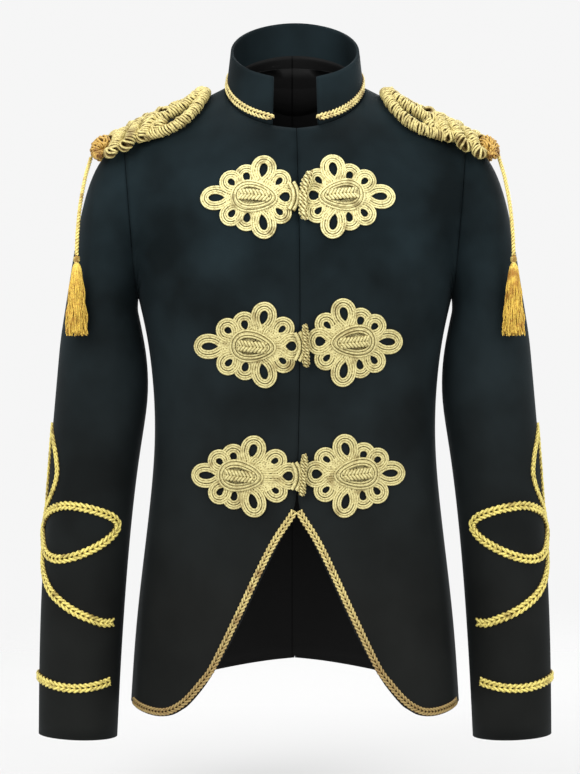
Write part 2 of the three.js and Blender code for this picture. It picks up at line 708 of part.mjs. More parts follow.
// The braid along the cut-away edge and the front hem
function edgeBraid(side) {
  const inset = BRAID.width / 2 + 0.6;
  const rows = [...CUTAWAY.slice(0, -1), ...FRONT_HEM];
  const path = pathThrough(rows);
  const steps = 34;
  const seats = [];
  for (let k = 0; k <= steps; k += 1) {
    const share = lerp(0.012, 0.985, k / steps);
    const p = path(share);
    const way = path(Math.min(share + 0.01, 1)).sub(path(share - 0.01)).normalize();
    const x = p.x - way.z * inset;
    const z = p.z + way.x * inset;
    seats.push(cast([fronts[side]], 1, side * (x + side * closingX(APEX_Z) * (1 - share) ** 4), z));
  }
  return ribbon(seats, BRAID.width, BRAID.thickness, TRIM_LIFT + 0.3);
}
for (const { side, name } of SIDES) addPiece(`edge_braid_${name}`, edgeBraid(side), yellowGold);

// The looped braid and the cuff band of each sleeve
function sleeveKnot(side) {
  const stops = SLEEVE_KNOT.map((r) => new Vector3(r.turn * KNOT.perDegree, r.z, 0));
  const curve = new THREE.CatmullRomCurve3(stops);
  const path = (mirror) => {
    const seats = [];
    for (let k = 0; k <= KNOT.steps; k += 1) {
      const p = curve.getPointAt(k / KNOT.steps);
      seats.push(onSleeve(side, (p.x / KNOT.perDegree) * mirror, p.y, 0));
    }
    return seats;
  };
  return joined([
    ribbon(path(1), BRAID.width, BRAID.thickness, TRIM_LIFT),
    ribbon(path(-1), BRAID.width, BRAID.thickness, TRIM_LIFT + KNOT.over),
  ]);
}

function cuffBand(side) {
  const seats = [];
  for (let k = 0; k <= CUFF_BAND.steps; k += 1) {
    const turn = lerp(-CUFF_BAND.reach, CUFF_BAND.reach, k / CUFF_BAND.steps);
    seats.push(onSleeve(side, turn, CUFF_BAND.z - CUFF_BAND.sag * Math.sin(rad(Math.abs(turn))) ** 2, 0));
  }
  return ribbon(seats, BRAID.width, BRAID.thickness, TRIM_LIFT);
}
for (const { side, name } of SIDES) {
  addPiece(`sleeve_knot_${name}`, sleeveKnot(side), yellowGold);
  addPiece(`cuff_band_${name}`, cuffBand(side), yellowGold);
}

// Joins an outer and an inner line of points that both run the same way round
function stitch(outer, inner, points) {
  const triangles = [];
  let [i, j] = [0, 0];
  while (i < outer.length || j < inner.length) {
    const a = outer[i % outer.length];
    const b = inner[j % inner.length];
    const a2 = outer[(i + 1) % outer.length];
    const b2 = inner[(j + 1) % inner.length];
    const alongOuter = j >= inner.length
      || (i < outer.length && points[a2].distanceTo(points[b]) < points[a].distanceTo(points[b2]));
    if (alongOuter) {
      triangles.push([a, a2, b]);
      i += 1;
    } else {
      triangles.push([a, b2, b]);
      j += 1;
    }
  }
  return triangles;
}

// A half frog laid flat: cord loops with open eyes round a raised knot
function frogPlan(frog) {
  const loops = LOOPS.map((loop) => {
    const room = loop.across === 0 ? loop.long + FROG.cord : 0;
    const p = loop.along * ((loop.along > 0 ? frog.out : frog.into) - room);
    const q = loop.across * (loop.across > 0 ? frog.up : frog.down);
    const reach = Math.hypot(p, q);
    const radius = loop.wide + FROG.cord;
    let angle = Math.atan2(q, p);
    if (angle < -1e-6) angle += 2 * Math.PI;
    return { ...loop, reach, angle, radius, middle: reach + loop.long - loop.wide };
  });
  const edge = (loop, angle) => {
    const turn = angle - loop.angle;
    const square = loop.radius ** 2 - (loop.middle * Math.sin(turn)) ** 2;
    return square < 0 ? 0 : loop.middle * Math.cos(turn) + Math.sqrt(square);
  };
  const count = loops.length;
  const valleys = loops.map((loop, k) => {
    const next = loops[(k + 1) % count];
    let [low, high] = [loop.angle, next.angle + (k === count - 1 ? 2 * Math.PI : 0)];
    for (let i = 0; i < FROG.search; i += 1) {
      const mid = (low + high) / 2;
      if (edge(loop, mid) > edge(next, mid - (k === count - 1 ? 2 * Math.PI : 0))) low = mid;
      else high = mid;
    }
    return { angle: low, reach: Math.max(edge(loop, low), loop.reach * FROG.valley) };
  });
  return { loops, valleys, edge };
}

function frogSolid(frog) {
  const { loops, valleys, edge } = frogPlan(frog);
  const plan = [];
  const heights = [];
  const add = (reach, angle, height) => {
    plan.push(new Vector3(reach * Math.cos(angle), reach * Math.sin(angle), 0));
    heights.push(height);
    return plan.length - 1;
  };
  const hub = (angle, share) =>
    share / Math.hypot(Math.cos(angle) / FROG.knotLong, Math.sin(angle) / FROG.knotWide);
  const corners = valleys.map((v) => add(hub(v.angle, 1), v.angle, FROG.thickness));
  const rim = valleys.map((v) => add(v.reach, v.angle, FROG.thickness));
  const shoulderHeight = FROG.knotHeight * FROG.shoulderHeight;
  const domeRing = valleys.map((v) => add(hub(v.angle, FROG.shoulder), v.angle, shoulderHeight));
  const crown = add(0, 0, FROG.knotHeight);
  const triangles = [];
  loops.forEach((loop, k) => {
    const before = (k + loops.length - 1) % loops.length;
    const from = valleys[before].angle - (k === 0 ? 2 * Math.PI : 0);
    const outer = [corners[before], rim[before]];
    for (let i = 1; i <= FROG.loopPoints; i += 1) {
      const angle = lerp(from, valleys[k].angle, i / (FROG.loopPoints + 1));
      outer.push(add(Math.max(edge(loop, angle), loop.reach), angle, FROG.thickness));
    }
    outer.push(rim[k], corners[k]);
    const eye = EYE.map(([u, v]) => {
      const along = loop.reach + u * loop.long;
      const across = v * loop.wide;
      return add(Math.hypot(along, across), loop.angle + Math.atan2(across, along), FROG.thickness);
    });
    triangles.push(...stitch(outer, eye, plan));
    triangles.push([corners[before], corners[k], domeRing[k]]);
    triangles.push([corners[before], domeRing[k], domeRing[before]]);
    triangles.push([domeRing[before], domeRing[k], crown]);
  });
  const top = [];
  const bottom = [];
  plan.forEach((p, k) => {
    const seat = onFronts(frog.x + frog.side * p.x, frog.z + p.y);
    bottom.push(seat.point.clone().addScaledVector(seat.normal, FROG_LIFT));
    top.push(seat.point.clone().addScaledVector(seat.normal, FROG_LIFT + heights[k]));
  });
  return shell(top, bottom, triangles);
}
for (const frog of FROGS) addPiece(frog.name, frogSolid(frog), paleGold);

// The wound bars that close the frogs
for (const bar of TOGGLES) {
  const half = bar.length / 2;
  const r = bar.radius;
  const nose = r * TOGGLE.noseRadius;
  const [full, tip] = [half - TOGGLE.taper, half - TOGGLE.noseLength];
  const profile = [[0, -half], [nose, -tip], [r, -full], [r, full], [nose, tip], [0, half]]
    .map(([x, y]) => new THREE.Vector2(x, y));
  const geometry = new THREE.LatheGeometry(profile, TOGGLE.sides);
  const seat = onFronts(bar.x, bar.z);
  const mesh = addPiece(bar.name, geometry, paleGold);
  const raised = FROG_LIFT + FROG.thickness + SEAM_PULL + r + TOGGLE.gap;
  mesh.position.copy(seat.point.addScaledVector(seat.normal, raised));
  const slopeUp = Math.atan2(seat.normal.z, -seat.normal.y);
  mesh.rotation.set(Math.PI / 2 - slopeUp, 0, rad(bar.lean), 'ZXY');
}

// The plaited shoulder boards, lying on the shoulder seam and the sleeve's cap
function shoulderBoard(side) {
  const under = [fronts[side], backs[side], sleeves[side]];
  const top = [];
  const bottom = [];
  const { along, across } = BOARD;
  for (let i = 0; i <= along; i += 1) {
    for (let j = 0; j <= across; j += 1) {
      const s = i / along;
      const v = (j / across) * 2 - 1;
      const lobe = s * Math.PI * BOARD.lobes;
      const waist = 1 + BOARD.waist * Math.sin(lobe);
      const ends = Math.min(1, Math.sqrt(Math.min(s, 1 - s) * BOARD.endGrowth + BOARD.endShare));
      const x = lerp(BOARD.inner, BOARD.outer, s);
      const y = v * BOARD.halfWidth * waist * ends;
      const hit = cast(under, 2, side * x, y);
      const straightZ = -(x - NECK.halfWidth) * BOARD.slope - BOARD.sag * y * y;
      const z = Math.max(hit ? hit.point.z + BOARD.lift : straightZ, straightZ);
      const wave = Math.sin(lobe + (v > 0 ? 0 : Math.PI)) * Math.sin(Math.abs(v) * Math.PI);
      const edge = j === 0 || j === across || i === 0 || i === along ? BOARD.rimShare : 1;
      bottom.push(new Vector3(side * x, y, z));
      top.push(new Vector3(side * x, y, z + (BOARD.thickness + BOARD.plait * wave) * edge));
    }
  }
  const eye = (i, j) => i >= BOARD.eyeFrom && i < BOARD.eyeTo && j === across / 2 - 1;
  const triangles = gridTriangles(along + 1, across + 1, false).filter((_, t) => {
    const cell = Math.floor(t / 2);
    return !eye(Math.floor(cell / across), cell % across);
  });
  return shell(top, bottom, triangles);
}
for (const { side, name } of SIDES) addPiece(`epaulette_${name}`, shoulderBoard(side), paleGold);

// The cords that hang from the boards, and their tassels
function hangingCord(side) {
  const curve = new THREE.CatmullRomCurve3(CORD_ROUTE.map(([x, y, z]) => new Vector3(side * x, y, z)));
  const section = new THREE.Shape();
  for (let k = 0; k < CORD.sides; k += 1) {
    const a = (2 * Math.PI * k) / CORD.sides;
    const [x, y] = [(CORD.diameter / 2) * Math.cos(a), (CORD.diameter / 2) * Math.sin(a)];
    if (k === 0) section.moveTo(x, y);
    else section.lineTo(x, y);
  }
  section.closePath();
  return new THREE.ExtrudeGeometry(section, { steps: CORD.steps, extrudePath: curve });
}

function strand(angle, reach) {
  const grid = [];
  const half = STRANDS.size;
  const levels = [{ z: STRANDS.rootZ, r: reach * STRANDS.rootShare }, { z: STRANDS.endZ, r: reach }];
  for (const { z, r } of levels) {
    for (const [u, v] of [[-1, -1], [1, -1], [1, 1], [-1, 1]]) {
      const out = r + v * half;
      const c = Math.cos(angle);
      const s = Math.sin(angle);
      grid.push(new Vector3(out * c - u * half * s, out * s + u * half * c, z));
    }
  }
  const triangles = gridTriangles(levels.length, 4, true);
  triangles.push([0, 2, 1], [0, 3, 2], [4, 5, 6], [4, 6, 7]);
  return solid(grid, triangles);
}

function tassel() {
  const profile = TASSEL_HEAD.map(([x, y]) => new THREE.Vector2(x, y));
  const lathe = new THREE.LatheGeometry(profile, TASSEL.sides);
  lathe.rotateX(Math.PI / 2);
  const strands = [];
  for (let k = 0; k < STRANDS.outer; k += 1) {
    strands.push(strand((2 * Math.PI * k) / STRANDS.outer, STRANDS.reach));
  }
  for (let k = 0; k < STRANDS.inner; k += 1) {
    strands.push(strand((2 * Math.PI * (k + 0.5)) / STRANDS.inner, STRANDS.innerReach));
  }
  return joined([welded(lathe), ...strands]);
}

// A three.js geometry with one vertex for each place
function welded(geometry) {
  const position = geometry.getAttribute('position');
  const index = geometry.getIndex();
  const points = [];
  const ids = new Map();
  const corner = (k) => {
    const p = new Vector3().fromBufferAttribute(position, k);
    const key = [p.x, p.y, p.z].map((value) => Math.round(value * 1000)).join(' ');
    if (!ids.has(key)) {
      ids.set(key, points.length);
      points.push(p);
    }
    return ids.get(key);
  };
  const triangles = [];
  for (let k = 0; k < index.count; k += 3) {
    const t = [corner(index.getX(k)), corner(index.getX(k + 1)), corner(index.getX(k + 2))];
    if (new Set(t).size === 3) triangles.push(t);
  }
  return solid(points, triangles);
}

const tasselShape = tassel();
for (const { side, name } of SIDES) {
  addPiece(`tassel_cord_${name}`, hangingCord(side), yellowGold);
  const mesh = addPiece(`tassel_${name}`, tasselShape, yellowGold);
  mesh.position.set(side * TASSEL.x, TASSEL.y, TASSEL.topZ);
}

export default group;
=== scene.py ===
"""Looks of a hollow military stage jacket: cloth, lining, braid, cord frogs, epaulettes and tassels."""

import json
import math

import bmesh
import bpy
import numpy as np
from mathutils import Matrix, Vector
from mathutils.bvhtree import BVHTree

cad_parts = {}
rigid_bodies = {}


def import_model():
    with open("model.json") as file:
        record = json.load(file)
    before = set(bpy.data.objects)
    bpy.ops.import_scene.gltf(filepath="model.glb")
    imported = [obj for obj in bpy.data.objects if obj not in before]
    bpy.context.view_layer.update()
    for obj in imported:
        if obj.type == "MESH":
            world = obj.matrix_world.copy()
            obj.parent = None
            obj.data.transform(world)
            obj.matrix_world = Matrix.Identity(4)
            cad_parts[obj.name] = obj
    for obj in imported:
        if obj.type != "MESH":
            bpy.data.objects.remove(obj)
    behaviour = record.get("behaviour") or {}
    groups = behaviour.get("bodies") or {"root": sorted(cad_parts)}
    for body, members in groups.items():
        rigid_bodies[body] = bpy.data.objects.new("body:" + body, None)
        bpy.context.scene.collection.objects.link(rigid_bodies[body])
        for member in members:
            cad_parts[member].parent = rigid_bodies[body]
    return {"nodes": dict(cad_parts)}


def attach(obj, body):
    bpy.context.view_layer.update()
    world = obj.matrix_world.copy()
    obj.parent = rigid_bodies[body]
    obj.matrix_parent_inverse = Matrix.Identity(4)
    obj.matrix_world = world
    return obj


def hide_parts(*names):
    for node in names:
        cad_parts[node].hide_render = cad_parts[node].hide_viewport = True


bl_info = {
    "name": "Military stage jacket",
    "version": (1, 0, 0),
    "blender": (4, 5, 0),
    "location": "View3D > Sidebar > Jacket",
    "description": "Builds the looks of a frogged stage jacket round its packed frame",
    "category": "Object",
}

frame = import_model()
MM = 0.001
BODY = "root"
SIDES = (("left", -1), ("right", 1))
CAMERA_AT = (-0.0055, -2.3, -0.3289)
WHITE = (1.0, 1.0, 1.0, 1.0)
TOWARD_VIEWER = Vector((0, -1, 0))
# How rough the boards' ropes are
LUMPS_PER_METRE = 250.0
CRINKLES_PER_METRE = 420.0
# How a tassel's threads hang: angle from one to the next, how fast they spread, bends and their shift
GOLDEN_ANGLE = 2.39996
SKIRT_FLARE = 0.55
THREAD_BENDS = 17
THREAD_SHIFT = 9
# What every rope tree is told: strands, sizes and how finely it is made
ROPE_SIZES = (
    ("Strands", "Int", 3), ("Radius", "Float", 2.5 * MM), ("Strand Radius", "Float", 1.3 * MM),
    ("Pitch", "Float", 9 * MM), ("Step", "Float", 0.7 * MM), ("Sides", "Int", 8),
)


# Node building
class Socket:
    """An output of a node. Sums on it add Math nodes."""

    def __init__(self, net, socket):
        self.net, self.socket = net, socket

    def other(self, name):
        """Another output of the same node."""
        return Socket(self.net, self.socket.node.outputs[name])

    def maths(self, operation, other=None, swapped=False):
        values = [self] if other is None else [other, self] if swapped else [self, other]
        return self.net.add("ShaderNodeMath", {"operation": operation}, dict(enumerate(values)))

    def __add__(self, other):
        return self.maths("ADD", other)

    __radd__ = __add__

    def __sub__(self, other):
        return self.maths("SUBTRACT", other)

    def __rsub__(self, other):
        return self.maths("SUBTRACT", other, True)

    def __mul__(self, other):
        return self.maths("MULTIPLY", other)

    __rmul__ = __mul__

    def __truediv__(self, other):
        return self.maths("DIVIDE", other)

    def within(self, low, high):
        """The value, held between two limits."""
        return self.maths("MAXIMUM", low).maths("MINIMUM", high)

    def sin(self):
        return self.maths("SINE")

    def cos(self):
        return self.maths("COSINE")


class Net:
    """A node tree that is filled node by node."""

    def __init__(self, tree):
        self.tree = tree

    def add(self, kind, settings=None, values=None, out=0):
        """Adds a node: its settings first, then the values or links of its sockets."""
        node = self.tree.nodes.new(kind)
        for key, value in (settings or {}).items():
            setattr(node, key, value)
        for key, value in (values or {}).items():
            if isinstance(value, Socket):
                self.tree.links.new(value.socket, node.inputs[key])
            else:
                node.inputs[key].default_value = value
        return Socket(self, node.outputs[out]) if len(node.outputs) else node

    def vector(self, operation, *values, scale=None):
        """A Vector Math node on up to three vectors."""
        given = dict(enumerate(values))
        if scale is not None:
            given["Scale"] = scale
        return self.add("ShaderNodeVectorMath", {"operation": operation}, given)

    def mixed(self, share, first, second):
        """Two colours mixed by a share."""
        return self.add("ShaderNodeMix", {"data_type": "RGBA"}, {0: share, 6: first, 7: second}, out=2)


def linear(red, green, blue):
    """A colour given in screen values of 0 to 255, as Blender's linear colour."""
    def channel(value):
        value /= 255
        return value / 12.92 if value <= 0.04045 else ((value + 0.055) / 1.055) ** 2.4
    return (channel(red), channel(green), channel(blue), 1.0)


def growth_tree(name, sockets, build):
    """A Geometry Nodes tree with a path, named sizes and a material; build returns the grown mesh."""
    tree = bpy.data.node_groups.new(name, "GeometryNodeTree")
    face = tree.interface
    face.new_socket("Geometry", in_out="INPUT", socket_type="NodeSocketGeometry")
    for label, kind, default in sockets:
        made = face.new_socket(label, in_out="INPUT", socket_type="NodeSocket" + kind)
        made.default_value = default
    face.new_socket("Material", in_out="INPUT", socket_type="NodeSocketMaterial")
    face.new_socket("Geometry", in_out="OUTPUT", socket_type="NodeSocketGeometry")
    net = Net(tree)
    start = net.add("NodeGroupInput")
    given = {label: start.other(label) for label, _, _ in sockets}
    grown = build(net, start, given)
    real = net.add("GeometryNodeRealizeInstances", None, {0: grown})
    smooth = net.add("GeometryNodeSetShadeSmooth", None, {0: real, "Shade Smooth": True})
    painted = net.add("GeometryNodeSetMaterial", None, {0: smooth, "Material": start.other("Material")})
    net.add("NodeGroupOutput", None, {0: painted})
    return tree


def stored(net, geometry, name, value, kind="FLOAT"):
    """Keeps a value on the points of a curve, for the material to read."""
    return net.add("GeometryNodeStoreNamedAttribute", {"data_type": kind, "domain": "POINT"},
                   {"Geometry": geometry, "Name": name, "Value": value})


def tube(net, curve, radius, sides):
    """A round tube along the curves, with its thread coordinates kept."""
    length = net.add("GeometryNodeSplineParameter").other("Length")
    ring = net.add("GeometryNodeCurvePrimitiveCircle", None, {"Resolution": sides, "Radius": radius})
    around = net.add("GeometryNodeSplineParameter").other("Factor")
    marked = stored(net, curve, "along", length)
    ring = stored(net, ring, "around", around)
    return net.add("GeometryNodeCurveToMesh", None, {0: marked, 1: ring, "Fill Caps": True})


def moved(net, curve, *parts):
    """Moves curve points by a sum of scaled directions."""
    total = None
    for direction, amount in parts:
        piece = net.vector("SCALE", direction, scale=amount)
        total = piece if total is None else net.vector("ADD", total, piece)
    return net.add("GeometryNodeSetPosition", None, {"Geometry": curve, "Offset": total})


def copies(net, geometry, step, count):
    """Evenly spaced curves from the path, copied, with the number of each copy."""
    curve = net.add("GeometryNodeMeshToCurve", None, {0: geometry})
    even = net.add("GeometryNodeResampleCurve", {"mode": "LENGTH"}, {0: curve, "Length": step})
    several = net.add("GeometryNodeDuplicateElements", {"domain": "SPLINE"}, {0: even, "Amount": count})
    return several, several.other("Duplicate Index")


def noise(net, place, scale, detail=2.0, rough=0.5):
    """Noise of so many lumps a metre."""
    return net.add("ShaderNodeTexNoise", None,
                   {"Vector": place, "Scale": scale, "Detail": detail, "Roughness": rough})


def kept_up(net):
    """The direction away from the cloth, or out of a rope, that the points keep."""
    return net.add("GeometryNodeInputNamedAttribute", {"data_type": "FLOAT_VECTOR"}, {"Name": "up"})


def directions(net):
    """Along, across and away from the cloth, at a point of a path with its own up."""
    along = net.add("GeometryNodeInputTangent")
    up = kept_up(net)
    across = net.vector("NORMALIZE", net.vector("CROSS_PRODUCT", along, up))
    return along, across, up


def build_soutache(net, start, size):
    """Flat cord of ribs laid side by side, with a groove down the middle."""
    curve, number = copies(net, start, size["Step"], size["Ribs"])
    _, across, up = directions(net)
    place = number - (size["Ribs"] - 1) * 0.5
    aside = place * size["Spacing"] + place.maths("SIGN") * size["Groove"] * 0.5
    laid = moved(net, curve, (across, aside), (up, size["Lift"] + size["Radius"]))
    return tube(net, laid, size["Radius"], size["Sides"])


def build_gimp(net, start, size):
    """Scroll gimp: two rows side by side, each of two cords wound round each other."""
    curve, number = copies(net, start, size["Step"], 4)
    along, across, up = directions(net)
    length = net.add("GeometryNodeSplineParameter").other("Length")
    strand = number.maths("MODULO", 2)
    row = number - strand - 1
    turn = length * (math.tau / 2) / size["Lobe"] + strand * math.pi
    aside = row * (size["Width"] * 0.22 + turn.cos() * (size["Width"] * 0.28 - size["Radius"]))
    laid = moved(net, curve, (across, aside), (along, (turn * 2).sin() * size["Lobe"] * size["Curl"]),
                 (up, size["Lift"] + size["Radius"] * (turn.sin() * size["Crossing"] + 1)))
    return tube(net, laid, size["Radius"], size["Sides"])


def wound(net, number, size):
    """A rope strand's direction along its path, the way out from it and its turn round it."""
    along = net.add("GeometryNodeInputTangent")
    normal = net.add("GeometryNodeInputNormal")
    side = net.vector("CROSS_PRODUCT", along, normal)
    length = net.add("GeometryNodeSplineParameter").other("Length")
    turn = length * math.tau / size["Pitch"] + number * math.tau / size["Strands"]
    away = net.vector("ADD", net.vector("SCALE", normal, scale=turn.cos()),
                      net.vector("SCALE", side, scale=turn.sin()))
    return along, away, turn


def build_rope(net, start, size):
    """Twisted cord: strands wound round the path."""
    curve, number = copies(net, start, size["Step"], size["Strands"])
    _, away, _ = wound(net, number, size)
    turned = stored(net, curve, "up", away, "FLOAT_VECTOR")
    laid = moved(net, turned, (kept_up(net), size["Radius"] - size["Strand Radius"]))
    return tube(net, laid, size["Strand Radius"], size["Sides"])


def build_bullion(net, start, size):
    """Fine wire cords wound closely into a lumpy rope."""
    curve, number = copies(net, start, size["Step"] * 0.5, size["Strands"])
    along, away, turn = wound(net, number, size)
    place = net.add("GeometryNodeInputPosition")
    lumps = noise(net, place, LUMPS_PER_METRE)
    crinkle = noise(net, net.vector("SCALE", place, scale=-1.0), CRINKLES_PER_METRE, 1.0)
    out = size["Radius"] - size["Strand Radius"] + (turn.sin() * 0.3 + lumps - 0.5) * size["Rough"]
    turned = stored(net, curve, "up", away, "FLOAT_VECTOR")
    laid = moved(net, turned, (kept_up(net), out), (along, (crinkle - 0.5) * size["Rough"]))
    return tube(net, laid, size["Strand Radius"], size["Sides"])


def build_skirt(net, start, size):
    """Tassel threads that hang from a ring and spread a little, with uneven ends."""
    curve, number = copies(net, start, size["Step"], size["Threads"])
    reach = net.add("GeometryNodeSplineParameter")
    angle = number * GOLDEN_ANGLE
    share = (number + 0.5).maths("DIVIDE", size["Threads"]).maths("SQRT")
    spread = size["Top"] + (size["Bottom"] - size["Top"]) * reach.maths("POWER", SKIRT_FLARE)
    uneven = net.add("FunctionNodeRandomValue", {"data_type": "FLOAT"},
                     {2: -1.0, 3: 1.0, "ID": number, "Seed": size["Seed"]}, out=1)
    wave = (reach * THREAD_BENDS + uneven * THREAD_SHIFT).sin() * reach * size["Wave"]
    radius = spread * share + wave
    fall = uneven * reach * size["Uneven"]
    offset = net.add("ShaderNodeCombineXYZ", None,
                     {0: radius * angle.cos(), 1: radius * angle.sin(), 2: fall})
    laid = net.add("GeometryNodeSetPosition", None, {"Geometry": curve, "Offset": offset})
    return tube(net, laid, size["Radius"], size["Sides"])


def placed(name, data):
    """An object for some data, in the scene."""
    made = bpy.data.objects.new(name, data)
    bpy.context.scene.collection.objects.link(made)
    return made


def finished(piece, **more):
    """Makes what a piece's modifiers give its own plain mesh."""
    depsgraph = bpy.context.evaluated_depsgraph_get()
    shown = piece.evaluated_get(depsgraph)
    final = bpy.data.meshes.new_from_object(shown, depsgraph=depsgraph, **more)
    piece.modifiers.clear()
    piece.data = final
    return piece


def path_mesh(name, paths):
    """A mesh of open or closed lines, each point with the direction away from the cloth."""
    points, edges, ups = [], [], []
    for line, away, closed in paths:
        base = len(points)
        points += [tuple(p) for p in line]
        ups += [tuple(u) for u in away]
        edges += [(base + k, base + k + 1) for k in range(len(line) - 1)]
        if closed:
            edges.append((base + len(line) - 1, base))
    mesh = bpy.data.meshes.new(name)
    mesh.from_pydata(points, edges, [])
    held = mesh.attributes.new("up", "FLOAT_VECTOR", "POINT")
    held.data.foreach_set("vector", np.array(ups, np.float32).ravel())
    return mesh


def grow(name, paths, tree, values, material):
    """Grows a tree's shape along paths and keeps the result as a plain mesh."""
    piece = placed(name, path_mesh(name, paths))
    growth = piece.modifiers.new("growth", "NODES")
    growth.node_group = tree
    wanted = dict(values, Material=material)
    for item in tree.interface.items_tree:
        if item.item_type == "SOCKET" and item.in_out == "INPUT" and item.name in wanted:
            growth[item.identifier] = wanted[item.name]
    return outward(finished(piece, preserve_all_data_layers=True))


def outward(piece):
    """Turns a closed mesh's faces outwards if its volume comes out negative."""
    work = bmesh.new()
    work.from_mesh(piece.data)
    if work.calc_volume(signed=True) < 0:
        bmesh.ops.reverse_faces(work, faces=work.faces[:])
        work.to_mesh(piece.data)
    work.free()
    return piece


def joined(name, parts):
    """Several pieces as one."""
    with bpy.context.temp_override(active_object=parts[0], selected_editable_objects=parts,
                                   selected_objects=parts):
        bpy.ops.object.join()
    parts[0].name = parts[0].data.name = name
    return parts[0]


def worn(piece, slot, *nodes):
    """Rides a piece on the jacket's body in place of CAD nodes."""
    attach(piece, BODY)
    if nodes:
        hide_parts(*nodes)
    return piece


# Materials
def material(name, build):
    """A material whose net is filled by build, which returns the sockets of its Principled node."""
    made = bpy.data.materials.new(name)
    made.use_nodes = True
    made.node_tree.nodes.clear()
    net = Net(made.node_tree)
    shader = net.add("ShaderNodeBsdfPrincipled", None, build(net))
    net.add("ShaderNodeOutputMaterial", None, {"Surface": shader})
    return made


def object_place(net):
    return net.add("ShaderNodeTexCoord", None, None, out="Object")


def velvet_net(dark, light, low):
    """Deep pile: soft lighter patches painted in as sheen where the nap lies another way, and a fine grain.
    """
    def build(net):
        place = object_place(net)
        patches = noise(net, place, 11, 3.0)
        grain = noise(net, place, 1400, 2.0, 0.7)
        height = net.add("ShaderNodeSeparateXYZ", None, {0: place}, out=2)
        # Painted sheen: the patches move the pile from its shade colour to its lit colour, and low down to a
        # lighter copy of the low colour.
        share = (patches - 0.5) * 2.6 + (grain - 0.5) * 0.5 + 0.45
        upper = net.mixed(share.within(0.0, 1.0), dark, light)
        rise = ((height + 0.56) * 2.6).within(0.0, 1.0)
        painted_sheen_low = tuple(c * 1.7 for c in low[:3]) + (1.0,)
        lower = net.mixed((patches * 2.4 - 0.7).within(0.0, 1.0), low, painted_sheen_low)
        base = net.mixed(rise, lower, upper)
        bump = net.add("ShaderNodeBump", None, {"Strength": 0.35, "Distance": 0.0004, "Height": grain})
        return {"Base Color": base, "Roughness": 0.62 + patches * 0.2, "Normal": bump,
                "Sheen Weight": 0.03, "Sheen Roughness": 0.45, "Sheen Tint": (0.55, 0.7, 0.78, 1.0),
                "Specular IOR Level": 0.05}
    return build


def satin_net(colour):
    """Smooth lining with a fine diagonal weave."""
    def build(net):
        place = object_place(net)
        patches = noise(net, place, 9, 2.0)
        twill = net.add("ShaderNodeTexWave", {"wave_type": "BANDS", "bands_direction": "DIAGONAL"},
                        {"Vector": place, "Scale": 420.0, "Distortion": 0.4}, out=1)
        bump = net.add("ShaderNodeBump", None, {"Strength": 0.18, "Distance": 0.0003, "Height": twill})
        lit = tuple(min(1.0, c * 1.5) for c in colour[:3]) + (1.0,)
        across = net.add("ShaderNodeSeparateXYZ", None, {0: place}, out=0)
        seam = (across + 0.003).maths("ABSOLUTE").maths("LESS_THAN", 0.0009)
        base = net.mixed(seam * 0.8, net.mixed(patches, colour, lit), (0.0005, 0.0005, 0.0005, 1.0))
        return {"Base Color": base, "Roughness": 0.42 + patches * 0.12,
                "Normal": bump, "Specular IOR Level": 0.07}
    return build


def gold_net(shade, middle, light, metal, depth, pale_from=-0.26, pale_over=0.1, brown_from=None):
    """Metallic thread: fine turns along each cord, paler high up, browner low down, with painted shade in
    its grooves.
    """
    pale = tuple(min(1.0, c * 1.22) for c in light[:3]) + (1.0,)

    def build(net):
        place = object_place(net)
        along = net.add("ShaderNodeAttribute", {"attribute_name": "along"}, None, out="Fac")
        around = net.add("ShaderNodeAttribute", {"attribute_name": "around"}, None, out="Fac")
        turns = (along * (math.tau / 0.0012) + around * math.tau).sin() * 0.5 + 0.5
        tone = noise(net, place, 60, 3.0)
        grain = noise(net, place, 900, 2.0, 0.6)
        body = net.mixed(turns * 0.55 + grain * 0.45, middle, light)
        worn_share = ((tone - 0.56) * 5.0).within(0.0, 0.7)
        height = net.add("ShaderNodeSeparateXYZ", None, {0: place}, out=2)
        fade = ((height - pale_from) / pale_over).within(0.0, 0.7)
        specks = ((noise(net, place, 430, 2.0, 0.7) - 0.5) * 4.5).within(0.0, 0.55)
        base = net.mixed(worn_share, net.mixed(fade, body, pale), shade)
        base = net.mixed(specks, base, shade)
        if brown_from is not None:
            brown = ((brown_from - height) * 7.0).within(0.0, 0.6)
            base = net.mixed(brown, base, shade)
        # Painted shade: where a face turns away from the cloth or out of its rope, the colour is darkened
        # toward the shade colour, as between cords.
        away = net.add("ShaderNodeAttribute", {"attribute_name": "up"}, None, out="Vector")
        normal = net.add("ShaderNodeNewGeometry", None, None, out="Normal")
        crown = net.add("ShaderNodeVectorMath", {"operation": "DOT_PRODUCT"}, {0: normal, 1: away},
                        out="Value")
        groove = ((depth - crown) * 1.5).within(0.0, 0.85)
        base = net.mixed(groove, base, shade)
        bump = net.add("ShaderNodeBump", None,
                       {"Strength": 0.5, "Distance": 0.0004, "Height": turns * 0.7 + grain * 0.6})
        return {"Base Color": base, "Roughness": 0.36 + grain * 0.25, "Normal": bump,
                "Metallic": metal, "Specular IOR Level": 0.5}
    return build


# Settings
def colour_of(name, description, red, green, blue):
    """A setting for a colour, from its display values out of 255."""
    return bpy.props.FloatVectorProperty(name=name, description=description, subtype="COLOR", size=4,
                                         default=linear(red, green, blue))


def length_of(name, description, default):
    """A setting for a length, given in millimetres."""
    return bpy.props.FloatProperty(name=name, description=description, unit="LENGTH", default=default * MM)


class ClothSettings(bpy.types.PropertyGroup):
    detail: bpy.props.IntProperty(name="Smoothing steps", default=2, min=1, max=3,
                                  description="How often the cloth's faces are split")
    folds: bpy.props.FloatProperty(name="Fold height", description="Share of the folds' full height",
                                   default=1.0)
    dark: colour_of("Pile shade", "Colour of the pile in shade", 11, 18, 20)
    light: colour_of("Pile light", "Colour of the pile where it is lit", 28, 39, 43)
    low: colour_of("Pile near the hem", "Colour of the pile low down", 20, 21, 20)
    lining: colour_of("Lining", "Colour of the lining", 19, 19, 19)


